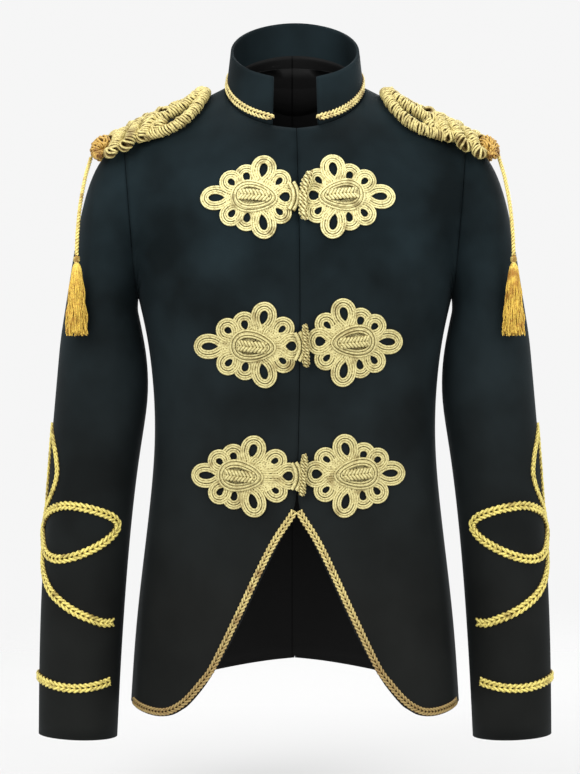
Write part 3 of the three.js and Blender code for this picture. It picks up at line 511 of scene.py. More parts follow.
class BraidSettings(bpy.types.PropertyGroup):
    width: length_of("Braid width", "Width of the gimp braid", 10.6)
    lobe: length_of("Lobe spacing", "Distance between lobes on one edge", 5.8)
    cord: length_of("Cord radius", "Radius of the cords in the braid", 1.55)
    colour: colour_of("Sleeve gold", "Colour of the braid on the sleeves", 254, 242, 146)
    edge_colour: colour_of("Edge gold", "Colour of the braid on the edges", 232, 218, 150)


class FrogSettings(bpy.types.PropertyGroup):
    rib: length_of("Rib radius", "Radius of the ribs in the flat cord", 1.2)
    band: length_of("Cord width", "Width of the doubled flat cord", 9.0)
    colour: colour_of("Frog gold", "Colour of the frogs", 228, 220, 162)


class EpauletteSettings(bpy.types.PropertyGroup):
    rope: length_of("Rope radius", "Radius of the plaited ropes", 6.4)
    colour: colour_of("Epaulette gold", "Colour of the boards", 218, 204, 136)


class TasselSettings(bpy.types.PropertyGroup):
    threads: bpy.props.IntProperty(name="Threads", description="Number of threads in a tassel", default=190)
    diameter: length_of("Cord diameter", "Diameter of the hanging cord", 5)
    colour: colour_of("Tassel gold", "Colour of the tassels", 240, 212, 104)


class StageSettings(bpy.types.PropertyGroup):
    floor: bpy.props.FloatProperty(name="Floor height", description="Height of the floor", unit="LENGTH",
                                   default=-0.80)
    lens: bpy.props.FloatProperty(name="Lens", description="Focal length in millimetres", default=97.25)
    light: bpy.props.FloatProperty(name="Light", description="Strength of the soft boxes", default=1.0)


# Cloth
# Soft folds in the cloth: both ends, half width and height; a negative height is a hollow
FOLDS = (
    ((-0.157, -0.060, -0.105), (-0.118, -0.105, -0.178), 0.011, 0.0018),
    ((-0.166, -0.035, -0.150), (-0.128, -0.098, -0.215), 0.010, -0.0016),
    ((-0.168, -0.030, -0.190), (-0.120, -0.108, -0.262), 0.013, 0.0016),
    ((0.157, -0.060, -0.110), (0.116, -0.105, -0.170), 0.012, 0.0014),
    ((0.166, -0.035, -0.160), (0.126, -0.098, -0.228), 0.011, -0.0014),
    ((0.164, -0.030, -0.205), (0.112, -0.110, -0.262), 0.014, 0.0012),
    ((-0.152, -0.020, -0.345), (-0.090, -0.096, -0.372), 0.012, 0.0014),
    ((-0.150, -0.030, -0.382), (-0.096, -0.094, -0.400), 0.011, -0.0012),
    ((0.150, -0.020, -0.350), (0.092, -0.096, -0.380), 0.012, 0.0013),
    ((0.152, -0.030, -0.392), (0.098, -0.092, -0.405), 0.011, -0.0011),
    ((-0.112, -0.090, -0.470), (-0.132, -0.088, -0.668), 0.020, 0.0022),
    ((-0.080, -0.100, -0.500), (-0.092, -0.104, -0.640), 0.016, -0.0018),
    ((0.108, -0.090, -0.480), (0.134, -0.088, -0.668), 0.020, 0.0022),
    ((0.078, -0.100, -0.510), (0.090, -0.104, -0.640), 0.016, -0.0018),
    ((-0.100, 0.095, -0.420), (-0.118, 0.112, -0.650), 0.022, 0.0026),
    ((-0.050, 0.100, -0.430), (-0.056, 0.122, -0.640), 0.018, -0.0016),
    ((0.100, 0.095, -0.430), (0.116, 0.112, -0.650), 0.022, 0.0026),
    ((0.050, 0.100, -0.440), (0.058, 0.122, -0.640), 0.018, -0.0016),
    ((-0.160, 0.050, -0.130), (-0.110, 0.100, -0.230), 0.014, 0.0018),
    ((0.160, 0.050, -0.140), (0.108, 0.100, -0.240), 0.014, 0.0018),
    ((-0.186, -0.052, -0.300), (-0.246, -0.040, -0.352), 0.011, 0.0018),
    ((-0.176, -0.046, -0.338), (-0.240, -0.046, -0.380), 0.010, -0.0014),
    ((-0.172, -0.040, -0.372), (-0.232, -0.050, -0.410), 0.011, 0.0015),
    ((0.186, -0.052, -0.310), (0.246, -0.040, -0.350), 0.011, 0.0016),
    ((0.176, -0.046, -0.345), (0.240, -0.046, -0.385), 0.010, -0.0014),
    ((0.172, -0.040, -0.380), (0.232, -0.050, -0.402), 0.011, 0.0014),
    ((-0.196, -0.054, -0.110), (-0.222, -0.052, -0.260), 0.012, 0.0014),
    ((0.196, -0.054, -0.115), (0.222, -0.052, -0.255), 0.012, 0.0014),
    ((-0.190, 0.056, -0.150), (-0.236, 0.050, -0.300), 0.014, 0.0018),
    ((0.190, 0.056, -0.150), (0.236, 0.050, -0.300), 0.014, 0.0018),
)
RIM_ANGLE = math.radians(40)


def fold_heights(points, share):
    """How far the folds push each point away from the body."""
    total = np.zeros(len(points))
    for start, end, width, height in FOLDS:
        a, b = np.array(start), np.array(end)
        way = b - a
        t = np.clip(((points - a) @ way) / (way @ way), 0, 1)
        apart = np.linalg.norm(points - (a + t[:, None] * way), axis=1)
        total += height * np.exp(-(apart / width) ** 2) * (1 - (2 * t - 1) ** 4)
    return total * share


def cloth_piece(name, node, settings, velvet, lining):
    """A smooth copy of a panel with soft folds: pile outside and round the rims, lining inside."""
    work = bmesh.new()
    work.from_mesh(frame["nodes"][node].data)
    bmesh.ops.remove_doubles(work, verts=work.verts[:], dist=0.02 * MM)
    bmesh.ops.join_triangles(work, faces=work.faces[:], angle_face_threshold=0.5,
                             angle_shape_threshold=1.0)
    crease = work.edges.layers.float.new("crease_edge")
    for edge in work.edges:
        if len(edge.link_faces) == 2 and edge.calc_face_angle() > RIM_ANGLE:
            edge[crease] = 1.0
    mark_walls(work, crease)
    mesh = bpy.data.meshes.new(name)
    work.to_mesh(mesh)
    work.free()
    for made in (velvet, lining):
        mesh.materials.append(made)
    piece = placed(name, mesh)
    finer = piece.modifiers.new("finer", "SUBSURF")
    finer.levels = finer.render_levels = settings.detail
    finished(piece)
    push_folds(piece.data, settings.folds)
    piece.data.shade_smooth()
    return piece


def mark_walls(work, crease):
    """Gives each wall of a shell its material: 1 for the inner wall, 0 for the outer wall and the rims."""
    middle = sum((v.co for v in work.verts), Vector()) / len(work.verts)
    unseen = set(work.faces)
    groups = []
    while unseen:
        group, front = [], [unseen.pop()]
        while front:
            face = front.pop()
            group.append(face)
            for edge in face.edges:
                if edge[crease] < 0.5:
                    for near in edge.link_faces:
                        if near in unseen:
                            unseen.remove(near)
                            front.append(near)
        groups.append(group)
    whole = sum(face.calc_area() for face in work.faces)
    for group in groups:
        area = sum(face.calc_area() for face in group)
        facing = sum(face.calc_area() * face.normal.dot(face.calc_center_median() - middle)
                     for face in group)
        inner = area > 0.2 * whole and facing < 0
        for face in group:
            face.material_index = 1 if inner else 0


def outer_faces(mesh):
    return [tuple(face.vertices) for face in mesh.polygons if face.material_index == 0]


def push_folds(mesh, share):
    """Moves both walls of the cloth together, along the outer wall's directions."""
    points = np.zeros(len(mesh.vertices) * 3)
    mesh.vertices.foreach_get("co", points)
    points = points.reshape(-1, 3)
    heights = fold_heights(points, share)
    tree = BVHTree.FromPolygons([Vector(p) for p in points], outer_faces(mesh))
    for k in np.nonzero(np.abs(heights) > 0.02 * MM)[0]:
        _, normal, _, _ = tree.find_nearest(Vector(points[k]))
        points[k] += np.array(normal) * heights[k]
    mesh.vertices.foreach_set("co", points.ravel())
    mesh.update()


PANELS = {
    "front_left": ((0.25, 0.68), 0.130), "front_right": ((0.25, 0.68), 0.130),
    "back_left": ((0.22, 0.72), 0.146), "back_right": ((0.22, 0.72), 0.146),
    "sleeve_left": ((0.37, 0.65), 0.176), "sleeve_right": ((0.37, 0.65), 0.176),
    "collar": ((0.45, 0.05), 0.019),
}


# The facing starts and ends at these turns round the neck in degrees, with the front at 0. Its upper rows
# lie inside the collar, by share of the collar's height, and its lower ones on the cloth round it.
FACING = {"start": 42, "sweep": 276, "steps": 72, "thick": 0.6, "off_collar": 0.8, "under_cloth": 0.9}
FACING_UPPER = (0.13, 0.07, 0.02)
# Lower rows: distance from the middle as a share of the seam's, and fall below it in mm
FACING_LOWER = ((0.97, 4), (1.03, 0), (1.1, 0), (1.17, 0))


def neck_facing(paint):
    """A band inside the neck that covers the seam of the collar, the backs and the lining."""
    walls = [o for o in bpy.data.objects if o.name.endswith("_cloth")]
    points, faces = [], []
    for wall in walls:
        base = len(points)
        points += [v.co.copy() for v in wall.data.vertices]
        faces += [tuple(base + k for k in face.vertices) for face in wall.data.polygons]
    tree = BVHTree.FromPolygons(points, faces)
    rows = []
    for k in range(FACING["steps"] + 1):
        turn = FACING["start"] + FACING["sweep"] * k / FACING["steps"]
        way = Vector((math.sin(math.radians(turn)), -math.cos(math.radians(turn)), 0))
        signed = turn if turn <= 180 else turn - 360
        seam = collar_point(signed, 0.0)
        row = []
        for share in FACING_UPPER:
            high = collar_point(signed, share)
            hit = tree.ray_cast(Vector((0, 0, high.z)), way, 0.12)[0]
            row.append((high if hit is None else hit) - way * FACING["off_collar"] * MM)
        for reach, fall in FACING_LOWER:
            low = Vector((seam.x * reach, seam.y * reach, seam.z - fall * MM))
            if fall == 0:
                hit = tree.ray_cast(Vector((low.x, low.y, seam.z - 0.09)), Vector((0, 0, 1)), 0.2)[0]
                if hit is not None:
                    low = hit - Vector((0, 0, FACING["under_cloth"] * MM))
            row.append(low)
        rows.append(row)
    count = len(rows[0])
    mesh = bpy.data.meshes.new("neck_facing")
    mesh.from_pydata([tuple(p) for row in rows for p in row], [],
                     [(i * count + j, i * count + j + 1, (i + 1) * count + j + 1, (i + 1) * count + j)
                      for i in range(len(rows) - 1) for j in range(count - 1)])
    mesh.materials.append(paint)
    piece = placed("neck_facing", mesh)
    thick = piece.modifiers.new("thick", "SOLIDIFY")
    thick.thickness, thick.offset = FACING["thick"] * MM, 0
    finished(piece).data.shade_smooth()
    return outward(piece)


class JACKET_OT_cloth(bpy.types.Operator):
    """Makes the velvet panels, sleeves and collar with their lining inside"""
    bl_idname = "jacket.cloth"
    bl_label = "Cloth panels"

    def execute(self, context):
        settings = context.scene.jacket_cloth
        velvet = material("deep_pile_velvet", velvet_net(settings.dark, settings.light, settings.low))
        lining = material("black_satin", satin_net(settings.lining))
        for node, (flat, area) in PANELS.items():
            inside = velvet if node == "collar" else lining
            piece = cloth_piece(node + "_cloth", node, settings, velvet, inside)
            worn(piece, "velvet", node)
        piece = cloth_piece("back_lining_cloth", "back_lining", settings, lining, lining)
        worn(piece, "black_lining", "back_lining")
        piece = worn(neck_facing(lining), "black_lining")
        return {"FINISHED"}


# Seats on the cloth
_trees = {}


def cloth_tree(*names):
    """The outer walls of some cloth pieces, for rays."""
    if names not in _trees:
        points, faces = [], []
        for name in names:
            mesh = bpy.data.objects[name + "_cloth"].data
            base = len(points)
            points += [v.co.copy() for v in mesh.vertices]
            faces += [tuple(base + k for k in face) for face in outer_faces(mesh)]
        _trees[names] = BVHTree.FromPolygons(points, faces)
    return _trees[names]


def seat_front(x, z):
    """The cloth's place and direction at a point seen from the front."""
    tree = cloth_tree("front_left", "front_right")
    for shift in (0, 2, -2, 4, -4, 7, -7):
        place, normal, _, _ = tree.ray_cast(Vector((x + shift * MM, -0.4, z)), Vector((0, 1, 0)), 0.6)
        if place is not None and normal.y < -0.2:
            return Vector((x, place.y, z)), normal
    raise RuntimeError(f"no front cloth at {x:.3f}, {z:.3f}")


_rings = {}


def ring(side, z):
    """The sleeve's middle and half sizes at a height."""
    key = (side, round(z, 4))
    if key not in _rings:
        tree = cloth_tree("sleeve_left" if side < 0 else "sleeve_right")
        guess = side * 0.228
        front = tree.ray_cast(Vector((guess, -0.3, z)), Vector((0, 1, 0)))[0]
        back = tree.ray_cast(Vector((guess, 0.3, z)), Vector((0, -1, 0)))[0]
        y = (front.y + back.y) / 2
        out = tree.ray_cast(Vector((side * 0.6, y, z)), Vector((-side, 0, 0)))[0]
        inside = tree.ray_cast(Vector((side * 0.05, y, z)), Vector((side, 0, 0)))[0]
        middle = Vector(((out.x + inside.x) / 2, y, z))
        _rings[key] = (middle, abs(out.x - inside.x) / 2, (back.y - front.y) / 2)
    return _rings[key]


def seat_sleeve(side, turn, z):
    """The sleeve's place and direction, by degrees round from its outer line and height."""
    middle, half, depth = ring(side, z)
    a = math.radians(turn)
    way = Vector((side * half * math.cos(a), -depth * math.sin(a), 0))
    tree = cloth_tree("sleeve_left" if side < 0 else "sleeve_right")
    place, normal, _, _ = tree.ray_cast(middle + way * 2.2, -way.normalized())
    return place, normal


def smooth_path(rows, count):
    """Evenly spaced points on a smooth curve through rows of numbers."""
    rows = [np.array(r, float) for r in rows]
    ends = [2 * rows[0] - rows[1], *rows, 2 * rows[-1] - rows[-2]]
    fine = []
    for k in range(1, len(ends) - 2):
        p0, p1, p2, p3 = ends[k - 1:k + 3]
        for t in np.linspace(0, 1, 24, endpoint=False):
            fine.append(0.5 * (2 * p1 + (p2 - p0) * t + (2 * p0 - 5 * p1 + 4 * p2 - p3) * t ** 2
                               + (3 * p1 - p0 - 3 * p2 + p3) * t ** 3))
    fine.append(rows[-1])
    fine = np.array(fine)
    run = np.concatenate([[0], np.cumsum(np.linalg.norm(np.diff(fine, axis=0), axis=1))])
    at = np.linspace(0, run[-1], count)
    return np.array([[np.interp(s, run, fine[:, c]) for c in range(fine.shape[1])] for s in at])


# Braid
# The cut-away edge from the closing down, then the front hem to the side seam: width and height, mm
EDGE = ((0, -459), (21, -499), (39.5, -537), (54.8, -570), (81.4, -625), (95.8, -645.5), (113.6, -665.6),
        (131, -677), (146.6, -680), (165, -678), (180.4, -673.5))
# Half of the sleeve's looped braid: degrees round from the outer line, and height, mm
KNOT = ((142, -583), (126, -583), (108, -578), (88, -571), (67, -561), (45, -548), (25, -530), (11, -512),
        (3, -494), (-8, -478), (-28, -465), (-58, -457), (-84, -458), (-108, -463), (-128, -470),
        (-137, -478), (-132, -487), (-118, -496), (-98, -505), (-75, -512), (-52, -514), (-30, -509),
        (-14, -496), (-3, -480))
# The top loop above the crossing: height, degrees round on the front strand and on the outer strand
TOP_LOOP = ((-463, 14, 11), (-444, 34, 12), (-424, 43, 12), (-403, 37, 12), (-384, 24, 11), (-373, 13, 9),
            (-370, 8, 8))
KNOT_PER_DEGREE = 0.85
CUFF_BAND = {"z": -643, "sag": 9, "reach": 142}
# The neck seam and the collar's top: half width, depth in front and behind, heights, mm
NECK = {"half": 77, "front": 74, "back": 72, "drop": 53, "rise": 40}
COLLAR = {"half": 72, "front": 65, "back": 68, "level": 42, "slope": 0.618, "gap": 25}


def collar_point(degrees, share):
    """A point of the collar by degrees round from the front and share of its height."""
    turn = math.radians(abs(degrees))
    c, s = math.cos(turn), math.sin(turn)
    ahead = c > 0
    low = np.array([NECK["half"] * s, -NECK["front" if ahead else "back"] * c,
                    -NECK["drop" if ahead else "rise"] * c])
    y = -COLLAR["front" if ahead else "back"] * c
    high = np.array([COLLAR["half"] * s, y, COLLAR["level"] + COLLAR["slope"] * y])
    point = low + (high - low) * share
    return Vector((point[0] * (1 if degrees > 0 else -1), point[1], point[2])) * MM


def collar_path():
    first = math.degrees(math.asin(COLLAR["gap"] / NECK["half"]))
    points, ups = [], []
    turns = [-first - (180 - first) * k / 60 for k in range(60)]
    turns = turns + [180] + [-t for t in reversed(turns)]
    tree = cloth_tree("collar")
    for turn in turns:
        guess = collar_point(turn, 0.17)
        place, normal, _, _ = tree.find_nearest(guess)
        points.append(place)
        ups.append(normal)
    return points, ups, False


def edge_path(side):
    """Just inside the cut-away edge and the front hem."""
    rows = smooth_path([(x, z) for x, z in EDGE], 160)
    points, ups = [], []
    for k in range(1, len(rows) - 2):
        way = rows[k + 1] - rows[k - 1]
        way /= np.linalg.norm(way)
        inset = 5.2 - 3.4 * math.exp(-(k / 14) ** 2)
        x, z = rows[k][0] - way[1] * inset, rows[k][1] + way[0] * inset
        share = k / len(rows)
        x = max(x + side * 1.5 * (1 - share) ** 4, 1.5 + side * 1.5)
        place, normal = seat_front(side * x * MM, z * MM)
        points.append(place)
        ups.append(normal)
    return points, ups, False


def knot_path(side, mirror, upper):
    """Half of the sleeve's looped braid, or the half of its top loop above that."""
    top = [(near if mirror > 0 else -far, z) for z, near, far in TOP_LOOP]
    stops = (KNOT[-1], *top) if upper else KNOT
    rows = smooth_path([(t * KNOT_PER_DEGREE, z) for t, z in stops], 90 if upper else 220)
    points, ups = [], []
    for a, z in rows:
        place, normal = seat_sleeve(side, mirror * a / KNOT_PER_DEGREE, z * MM)
        over = mirror < 0 and z < KNOT[-1][1] + 20
        points.append(place + normal * (2.0 * MM * math.exp(-(a / 8) ** 2) if over else 0.0))
        ups.append(normal)
    return points, ups, False


def cuff_path(side):
    seats = []
    for k in range(90):
        turn = CUFF_BAND["reach"] * (2 * k / 89 - 1)
        z = CUFF_BAND["z"] - CUFF_BAND["sag"] * math.sin(math.radians(abs(turn))) ** 2
        seats.append(seat_sleeve(side, turn, z * MM))
    return [p for p, _ in seats], [n for _, n in seats], False


class JACKET_OT_braid(bpy.types.Operator):
    """Makes the gimp braid on the collar, the cut-away edges, the sleeves and the cuffs"""
    bl_idname = "jacket.braid"
    bl_label = "Gimp braid"

    def execute(self, context):
        settings = context.scene.jacket_braid
        gold = material("braid_gold", gold_net(
            linear(108, 80, 24), linear(212, 190, 84), settings.colour, 0.2, 0.6))
        edge_gold = material("edge_braid_gold", gold_net(
            linear(124, 88, 48), linear(190, 170, 98), settings.edge_colour, 0.2, 0.62, -0.2, 0.1, -0.54))
        tree = growth_tree("scroll_gimp", (
            ("Width", "Float", 11 * MM), ("Lobe", "Float", 5.8 * MM), ("Radius", "Float", 1.55 * MM),
            ("Curl", "Float", -0.12), ("Crossing", "Float", 0.6), ("Lift", "Float", 0.0),
            ("Step", "Float", 0.7 * MM), ("Sides", "Int", 6)), build_gimp)
        size = {"Width": settings.width, "Lobe": settings.lobe, "Radius": settings.cord, "Curl": -0.12,
                "Crossing": 0.6, "Lift": -0.6 * MM, "Step": 0.85 * MM, "Sides": 6}
        narrow = dict(size, Width=settings.width * 0.82, Lobe=settings.lobe * 0.84,
                      Radius=settings.cord * 0.74)
        jobs = [("collar_braid", [collar_path()], narrow, edge_gold)]
        for word, side in SIDES:
            jobs.append((f"edge_braid_{word}", [edge_path(side)], narrow, edge_gold))
            jobs.append((f"cuff_band_{word}", [cuff_path(side)], size, gold))
        for node, paths, values, paint in jobs:
            worn(grow(node + "_gimp", paths, tree, values, paint), "yellow_gold", node)
        for word, side in SIDES:
            slim = dict(size, Width=settings.width * 0.66, Lobe=settings.lobe * 0.95,
                        Radius=settings.cord * 0.8)
            parts = [grow("loops", [knot_path(side, m, False) for m in (1, -1)], tree, size, gold),
                     grow("top", [knot_path(side, m, True) for m in (1, -1)], tree, slim, gold)]
            node = f"sleeve_knot_{word}"
            worn(joined(node + "_gimp", parts), "yellow_gold", node)
        return {"FINISHED"}


# Frogs
# Each half: node, side, middle of its knot in x and z, then its reach outward, inward, up and down, mm
FROGS = (
    ("frog_1_loop", -1, -42.9, -129.8, 57, 46, 46, 45),
    ("frog_1_toggle", 1, 48.7, -128.2, 57, 43, 45, 47),
    ("frog_2_loop", -1, -43.7, -286, 63, 54, 48, 44),
    ("frog_2_toggle", 1, 60.4, -281, 53, 49, 46, 50),
    ("frog_3_loop", -1, -57.1, -422.6, 53, 64, 43, 44),
    ("frog_3_toggle", 1, 64, -420.5, 53, 56, 42, 48),
)
# Loops of a half frog: eye centre as shares of the reach outward and upward, eye half sizes, mm
LOOPS = ((1, 0, 8.4, 4), (0.41, 0.34, 4.4, 3.2), (0.14, 0.46, 5, 3.6), (-0.2, 0.62, 7.4, 4.2),
         (-0.55, 0.36, 4.8, 3), (-1, 0, 5.5, 5), (-0.56, -0.34, 4.8, 3), (-0.2, -0.6, 8.6, 4.2),
         (0.13, -0.48, 5.4, 3.6), (0.4, -0.38, 5, 3.2))
LEAN = 0.62
# The rings of a knot: half length, half width and lift, mm, and how much its line rises outward
KNOT_RINGS = ((21.5, 14, 2.6), (17.6, 10.6, 4.6))
SLANT = 0.1
# The bowed cords at a left half's inner end: distance from its tip, half length and lift, mm
BOWS = ((1.0, 15, 2.6), (5.6, 14, 2.4))
# One loop's middle line, as shares of its half length outward and half width across
TEARDROP = ((-0.88, 0.46), (-0.52, 0.80), (-0.05, 1.0), (0.48, 0.93), (0.84, 0.58), (1.0, 0.0))
# The wound bars: place, length, radius, lean in degrees, bow toward the left and radius of the winding cord
BARS = (("frog_1_bar", 15.0, -130, 57, 5.4, 3, 4.5, 2.0), ("frog_2_bar", 10.6, -285, 47, 4.3, -2, 0, 1.6),
        ("frog_3_bar", 8.2, -421, 46, 4.3, 4, 0, 1.6))


def frog_point(frog, p, q, lift=0.0):
    """A point of a half frog, p outward and q up in mm, seated on the front cloth."""
    _, side, x, z = frog[:4]
    place, normal = seat_front((x + side * p) * MM, (z + q) * MM)
    return place + normal * lift * MM, normal


def loop_lines(frog, band):
    """The middle lines of a half frog's loops, in its own plane."""
    _, _, _, _, out, into, up, down = frog
    lines = []
    for along, across, long, wide in LOOPS:
        room = long + band if across == 0 else 0
        p = along * ((out if along > 0 else into) - room)
        q = across * (up if across > 0 else down)
        reach, angle = math.hypot(p, q), math.atan2(q, p * (LEAN if across else 1))
        half, width = long + band / 2, wide + band / 2
        tail = [(-reach + 6, 3.0), (-half * 1.3, 2.6)]
        body = [(u * half, v * width) for u, v in TEARDROP]
        rows = tail + body
        rows = rows + [(u, -v) for u, v in reversed(rows[:-1])]
        line = smooth_path(rows, 64)
        c, s = math.cos(angle), math.sin(angle)
        lines.append([(p + u * c - v * s, q + u * s + v * c) for u, v in line])
    return lines


def web_lines(frog, band):
    """Rings of cord that fill the ground between the loops and the knot."""
    corners = []
    for along, across, long, _ in LOOPS:
        _, _, _, _, out, into, up, down = frog
        room = long + band if across == 0 else 0
        p = along * ((out if along > 0 else into) - room)
        q = across * (up if across > 0 else down)
        reach = math.hypot(p, q)
        keep = max(8.0, reach - long - 4.5) / reach
        corners.append((p * keep, q * keep))
    lines = []
    for share in (1.0, 0.66):
        rows = [(p * share, q * share) for p, q in corners]
        line = smooth_path(rows[-2:] + rows + rows[:2], 150)
        start = [np.linalg.norm(line[:75] - np.array(rows[0]), axis=1).argmin(),
                 75 + np.linalg.norm(line[75:] - np.array(rows[0]), axis=1).argmin()]
        lines.append([tuple(p) for p in line[start[0]:start[1]]])
    return lines


def seated(frog, line, lift=0.0, closed=False):
    seats = [frog_point(frog, p, q, lift) for p, q in line]
    return [p for p, _ in seats], [n for _, n in seats], closed


def almond(frog, half, width, lift):
    """A ring of the raised knot, round outward and narrow toward the closing."""
    rows = []
    for a in np.linspace(0, math.tau, 72, endpoint=False):
        p, q = half * math.cos(a), width * math.sin(a) * (1 + 0.28 * math.cos(a))
        rows.append((p - 0.12 * q, q + SLANT * p))
    return seated(frog, rows, lift, True)


def plait_line(frog, half, lift):
    """The middle of the herringbone plait on top of the knot."""
    rows = [(half * u, SLANT * half * u) for u in np.linspace(1, -1, 30)]
    points, ups, _ = seated(frog, rows, lift)
    bow = [Vector(n) * 2.2 * MM * (1 - u * u) for n, u in zip(ups, np.linspace(1, -1, 30))]
    return [p + b for p, b in zip(points, bow)], ups, False


def crescent(frog, tip, half, bend, lift):
    """A cord of a left half's inner loop, bowed toward the bar."""
    rows = [(-tip + bend * u * u, half * u) for u in np.linspace(-1, 1, 24)]
    return seated(frog, rows, lift)


class JACKET_OT_frogs(bpy.types.Operator):
    """Makes the cord frogs with their raised knots"""
    bl_idname = "jacket.frogs"
    bl_label = "Cord frogs"

    def execute(self, context):
        settings = context.scene.jacket_frogs
        gold = material("frog_gold", gold_net(
            linear(132, 112, 58), linear(196, 182, 120), settings.colour, 0.15, 0.7))
        flat_cord = growth_tree("flat_cord", (
            ("Ribs", "Int", 4), ("Spacing", "Float", 1.8 * MM), ("Groove", "Float", 0.3 * MM),
            ("Radius", "Float", 1.0 * MM), ("Lift", "Float", 0.5 * MM), ("Step", "Float", 1.0 * MM),
            ("Sides", "Int", 6)), build_soutache)
        rope = growth_tree("knot_cord", ROPE_SIZES, build_rope)
        gimp = bpy.data.node_groups["scroll_gimp"]
        base = {"Ribs": 4, "Spacing": settings.band / 4, "Groove": 0.5 * MM, "Radius": settings.rib,
                "Lift": 0.6 * MM, "Step": 1.2 * MM, "Sides": 6}
        for frog in FROGS:
            lines = loop_lines(frog, settings.band / MM)
            parts = []
            for k, line in enumerate(lines):
                over = dict(base, Lift=(0.9 if k % 2 else 0.3) * MM)
                parts.append(grow("loop", [seated(frog, line)], flat_cord, over, gold))
            webs = [seated(frog, line, 0.0, True) for line in web_lines(frog, settings.band / MM)]
            parts.append(grow("webs", webs, flat_cord, dict(base, Lift=0.2 * MM), gold))
            flat = dict(base, Lift=0.0)
            rings = [almond(frog, half, width, lift) for half, width, lift in KNOT_RINGS]
            parts.append(grow("rings", rings, flat_cord, dict(flat, Ribs=2, Radius=1.25 * MM), gold))
            parts.append(grow("bed", [plait_line(frog, 12.5, 4.4)], flat_cord, flat, gold))
            parts.append(grow("plait", [plait_line(frog, 14.5, 6.0)], gimp,
                              {"Width": 12.6 * MM, "Lobe": 3.7 * MM, "Radius": 1.5 * MM, "Curl": -0.06,
                               "Crossing": 0.7, "Lift": 0.0, "Step": 0.5 * MM, "Sides": 6}, gold))
            if frog[1] < 0:
                tip = frog[5]
                bows = [crescent(frog, tip - back, half, 5, lift) for back, half, lift in BOWS]
                single = dict(base, Ribs=1, Groove=0.0, Radius=2.1 * MM)
                parts.append(grow("bows", bows, flat_cord, single, gold))
            worn(joined(frog[0] + "_cord", parts), "pale_gold", frog[0])
        for name, *sizes in BARS:
            worn(self.bar(name, *sizes, gold, rope), "pale_gold", name)
        return {"FINISHED"}

    def bar(self, name, x, z, length, radius, lean, bow, cord, gold, tree):
        """An upright bar wound with cord."""
        place, normal = seat_front(x * MM, z * MM)
        middle = place + normal * (3.6 + radius) * MM
        tilt = math.radians(lean)
        up = Vector((math.sin(tilt), 0, math.cos(tilt)))
        up = (up - normal * up.dot(normal)).normalized()
        across = up.cross(normal)
        turns = int(length / (cord * 2.1))
        points, ups = [], []
        for k in range(turns * 12 + 1):
            share = k / (turns * 12)
            a = share * turns * math.tau
            end = min(share, 1 - share) * length
            r = (radius - cord) * min(1.0, 0.45 + 0.12 * end) * (1 + 0.12 * math.sin(share * 19))
            centre = middle + up * (share - 0.5) * (length - 2 * cord) * MM
            centre -= Vector((bow * (1 - (2 * share - 1) ** 2), 0, 0)) * MM
            points.append(centre + (across * math.cos(a) + normal * math.sin(a)) * r * MM)
            ups.append(normal)
        return grow(name + "_cord", [(points, ups, False)], tree,
                    {"Strands": 2, "Radius": cord * 1.1 * MM, "Strand Radius": cord * 0.62 * MM,
                     "Pitch": cord * 5 * MM, "Step": 0.8 * MM, "Sides": 6}, gold)


def lathe(name, profile, sides, paint):
    """A closed turned shape round the upright line, from radii and heights in mm."""
    work = bmesh.new()
    rings = []
    for radius, height in profile:
        if radius == 0:
            rings.append([work.verts.new((0, 0, height * MM))])
        else:
            turns = np.linspace(0, math.tau, sides, endpoint=False)
            round_it = [(radius * MM * math.cos(a), radius * MM * math.sin(a), height * MM) for a in turns]
            rings.append([work.verts.new(place) for place in round_it])
    for low, high in zip(rings, rings[1:]):
        for k in range(sides):
            corners = [low[k % len(low)], low[(k + 1) % len(low)],
                       high[(k + 1) % len(high)], high[k % len(high)]]
            work.faces.new(list(dict.fromkeys(corners)))
    bmesh.ops.recalc_face_normals(work, faces=work.faces[:])
    mesh = bpy.data.meshes.new(name)
    work.to_mesh(mesh)
    work.free()
    mesh.materials.append(paint)
    mesh.shade_smooth()
    return placed(name, mesh)


# Epaulettes, cords and tassels
# The boards' ropes: share of the board's length, share of its half width and height above it in mm
EYE_ROPE = [
    (0.44, -0.9, 7.0), (0.36, -1.0, 7.0), (0.24, -1.0, 7.4), (0.14, -0.9, 8.0), (0.07, -0.65, 8.6),
    (0.05, -0.2, 9.6), (0.06, 0.2, 11), (0.12, 0.42, 12), (0.22, 0.46, 12), (0.33, 0.4, 11),
    (0.44, 0.25, 8.5),
]
LOWER_ROPE = [
    (0.50, -1.5, 4.0), (0.40, -1.6, 3.6), (0.28, -1.7, 3.4), (0.16, -1.6, 3.6), (0.07, -1.3, 4.2),
    (0.02, -0.8, 5.4), (0.01, -0.2, 6.6), (0.05, 0.35, 7.2), (0.14, 0.7, 7),
]
# The plait: shares of the board's length and half width, then its period, lift and crossing height in mm
PLAIT = {"start": 0.36, "end": 0.83, "period": 50, "middle": -0.42, "swing": 1.2, "lift": 7.8, "cross": 3.0}
# The board: its ends in x, half width, and how its top falls outward from the neck and sags to each side
BOARD = {"inner": 99, "outer": 224, "half": 31, "slope": 0.505, "sag": 0.0085, "neck": 77}
# The hanging cord's route on the viewer's right, mm
CORD_ROUTE = (
    (222, -22, -78.2), (223.5, -26, -85), (225, -31, -92), (226.4, -36, -99), (227.6, -41, -107),
    (228.8, -46, -116), (229.9, -50.5, -125), (230.9, -55, -135), (231.7, -58.8, -145), (232.3, -61.8, -155),
    (232.8, -64, -164), (233.1, -65.5, -173), (233.3, -66.3, -181), (233.4, -66.5, -188.2),
)
TASSEL_TOP = (233.4, -66.5, -188.5)
TASSEL_HEAD = ((0, -20), (4.6, -18), (3.0, -11), (1.8, -8.4), (1.8, -7), (2.8, -5.6), (2.8, -2.4),
               (1.8, -0.6), (0, -0.4))


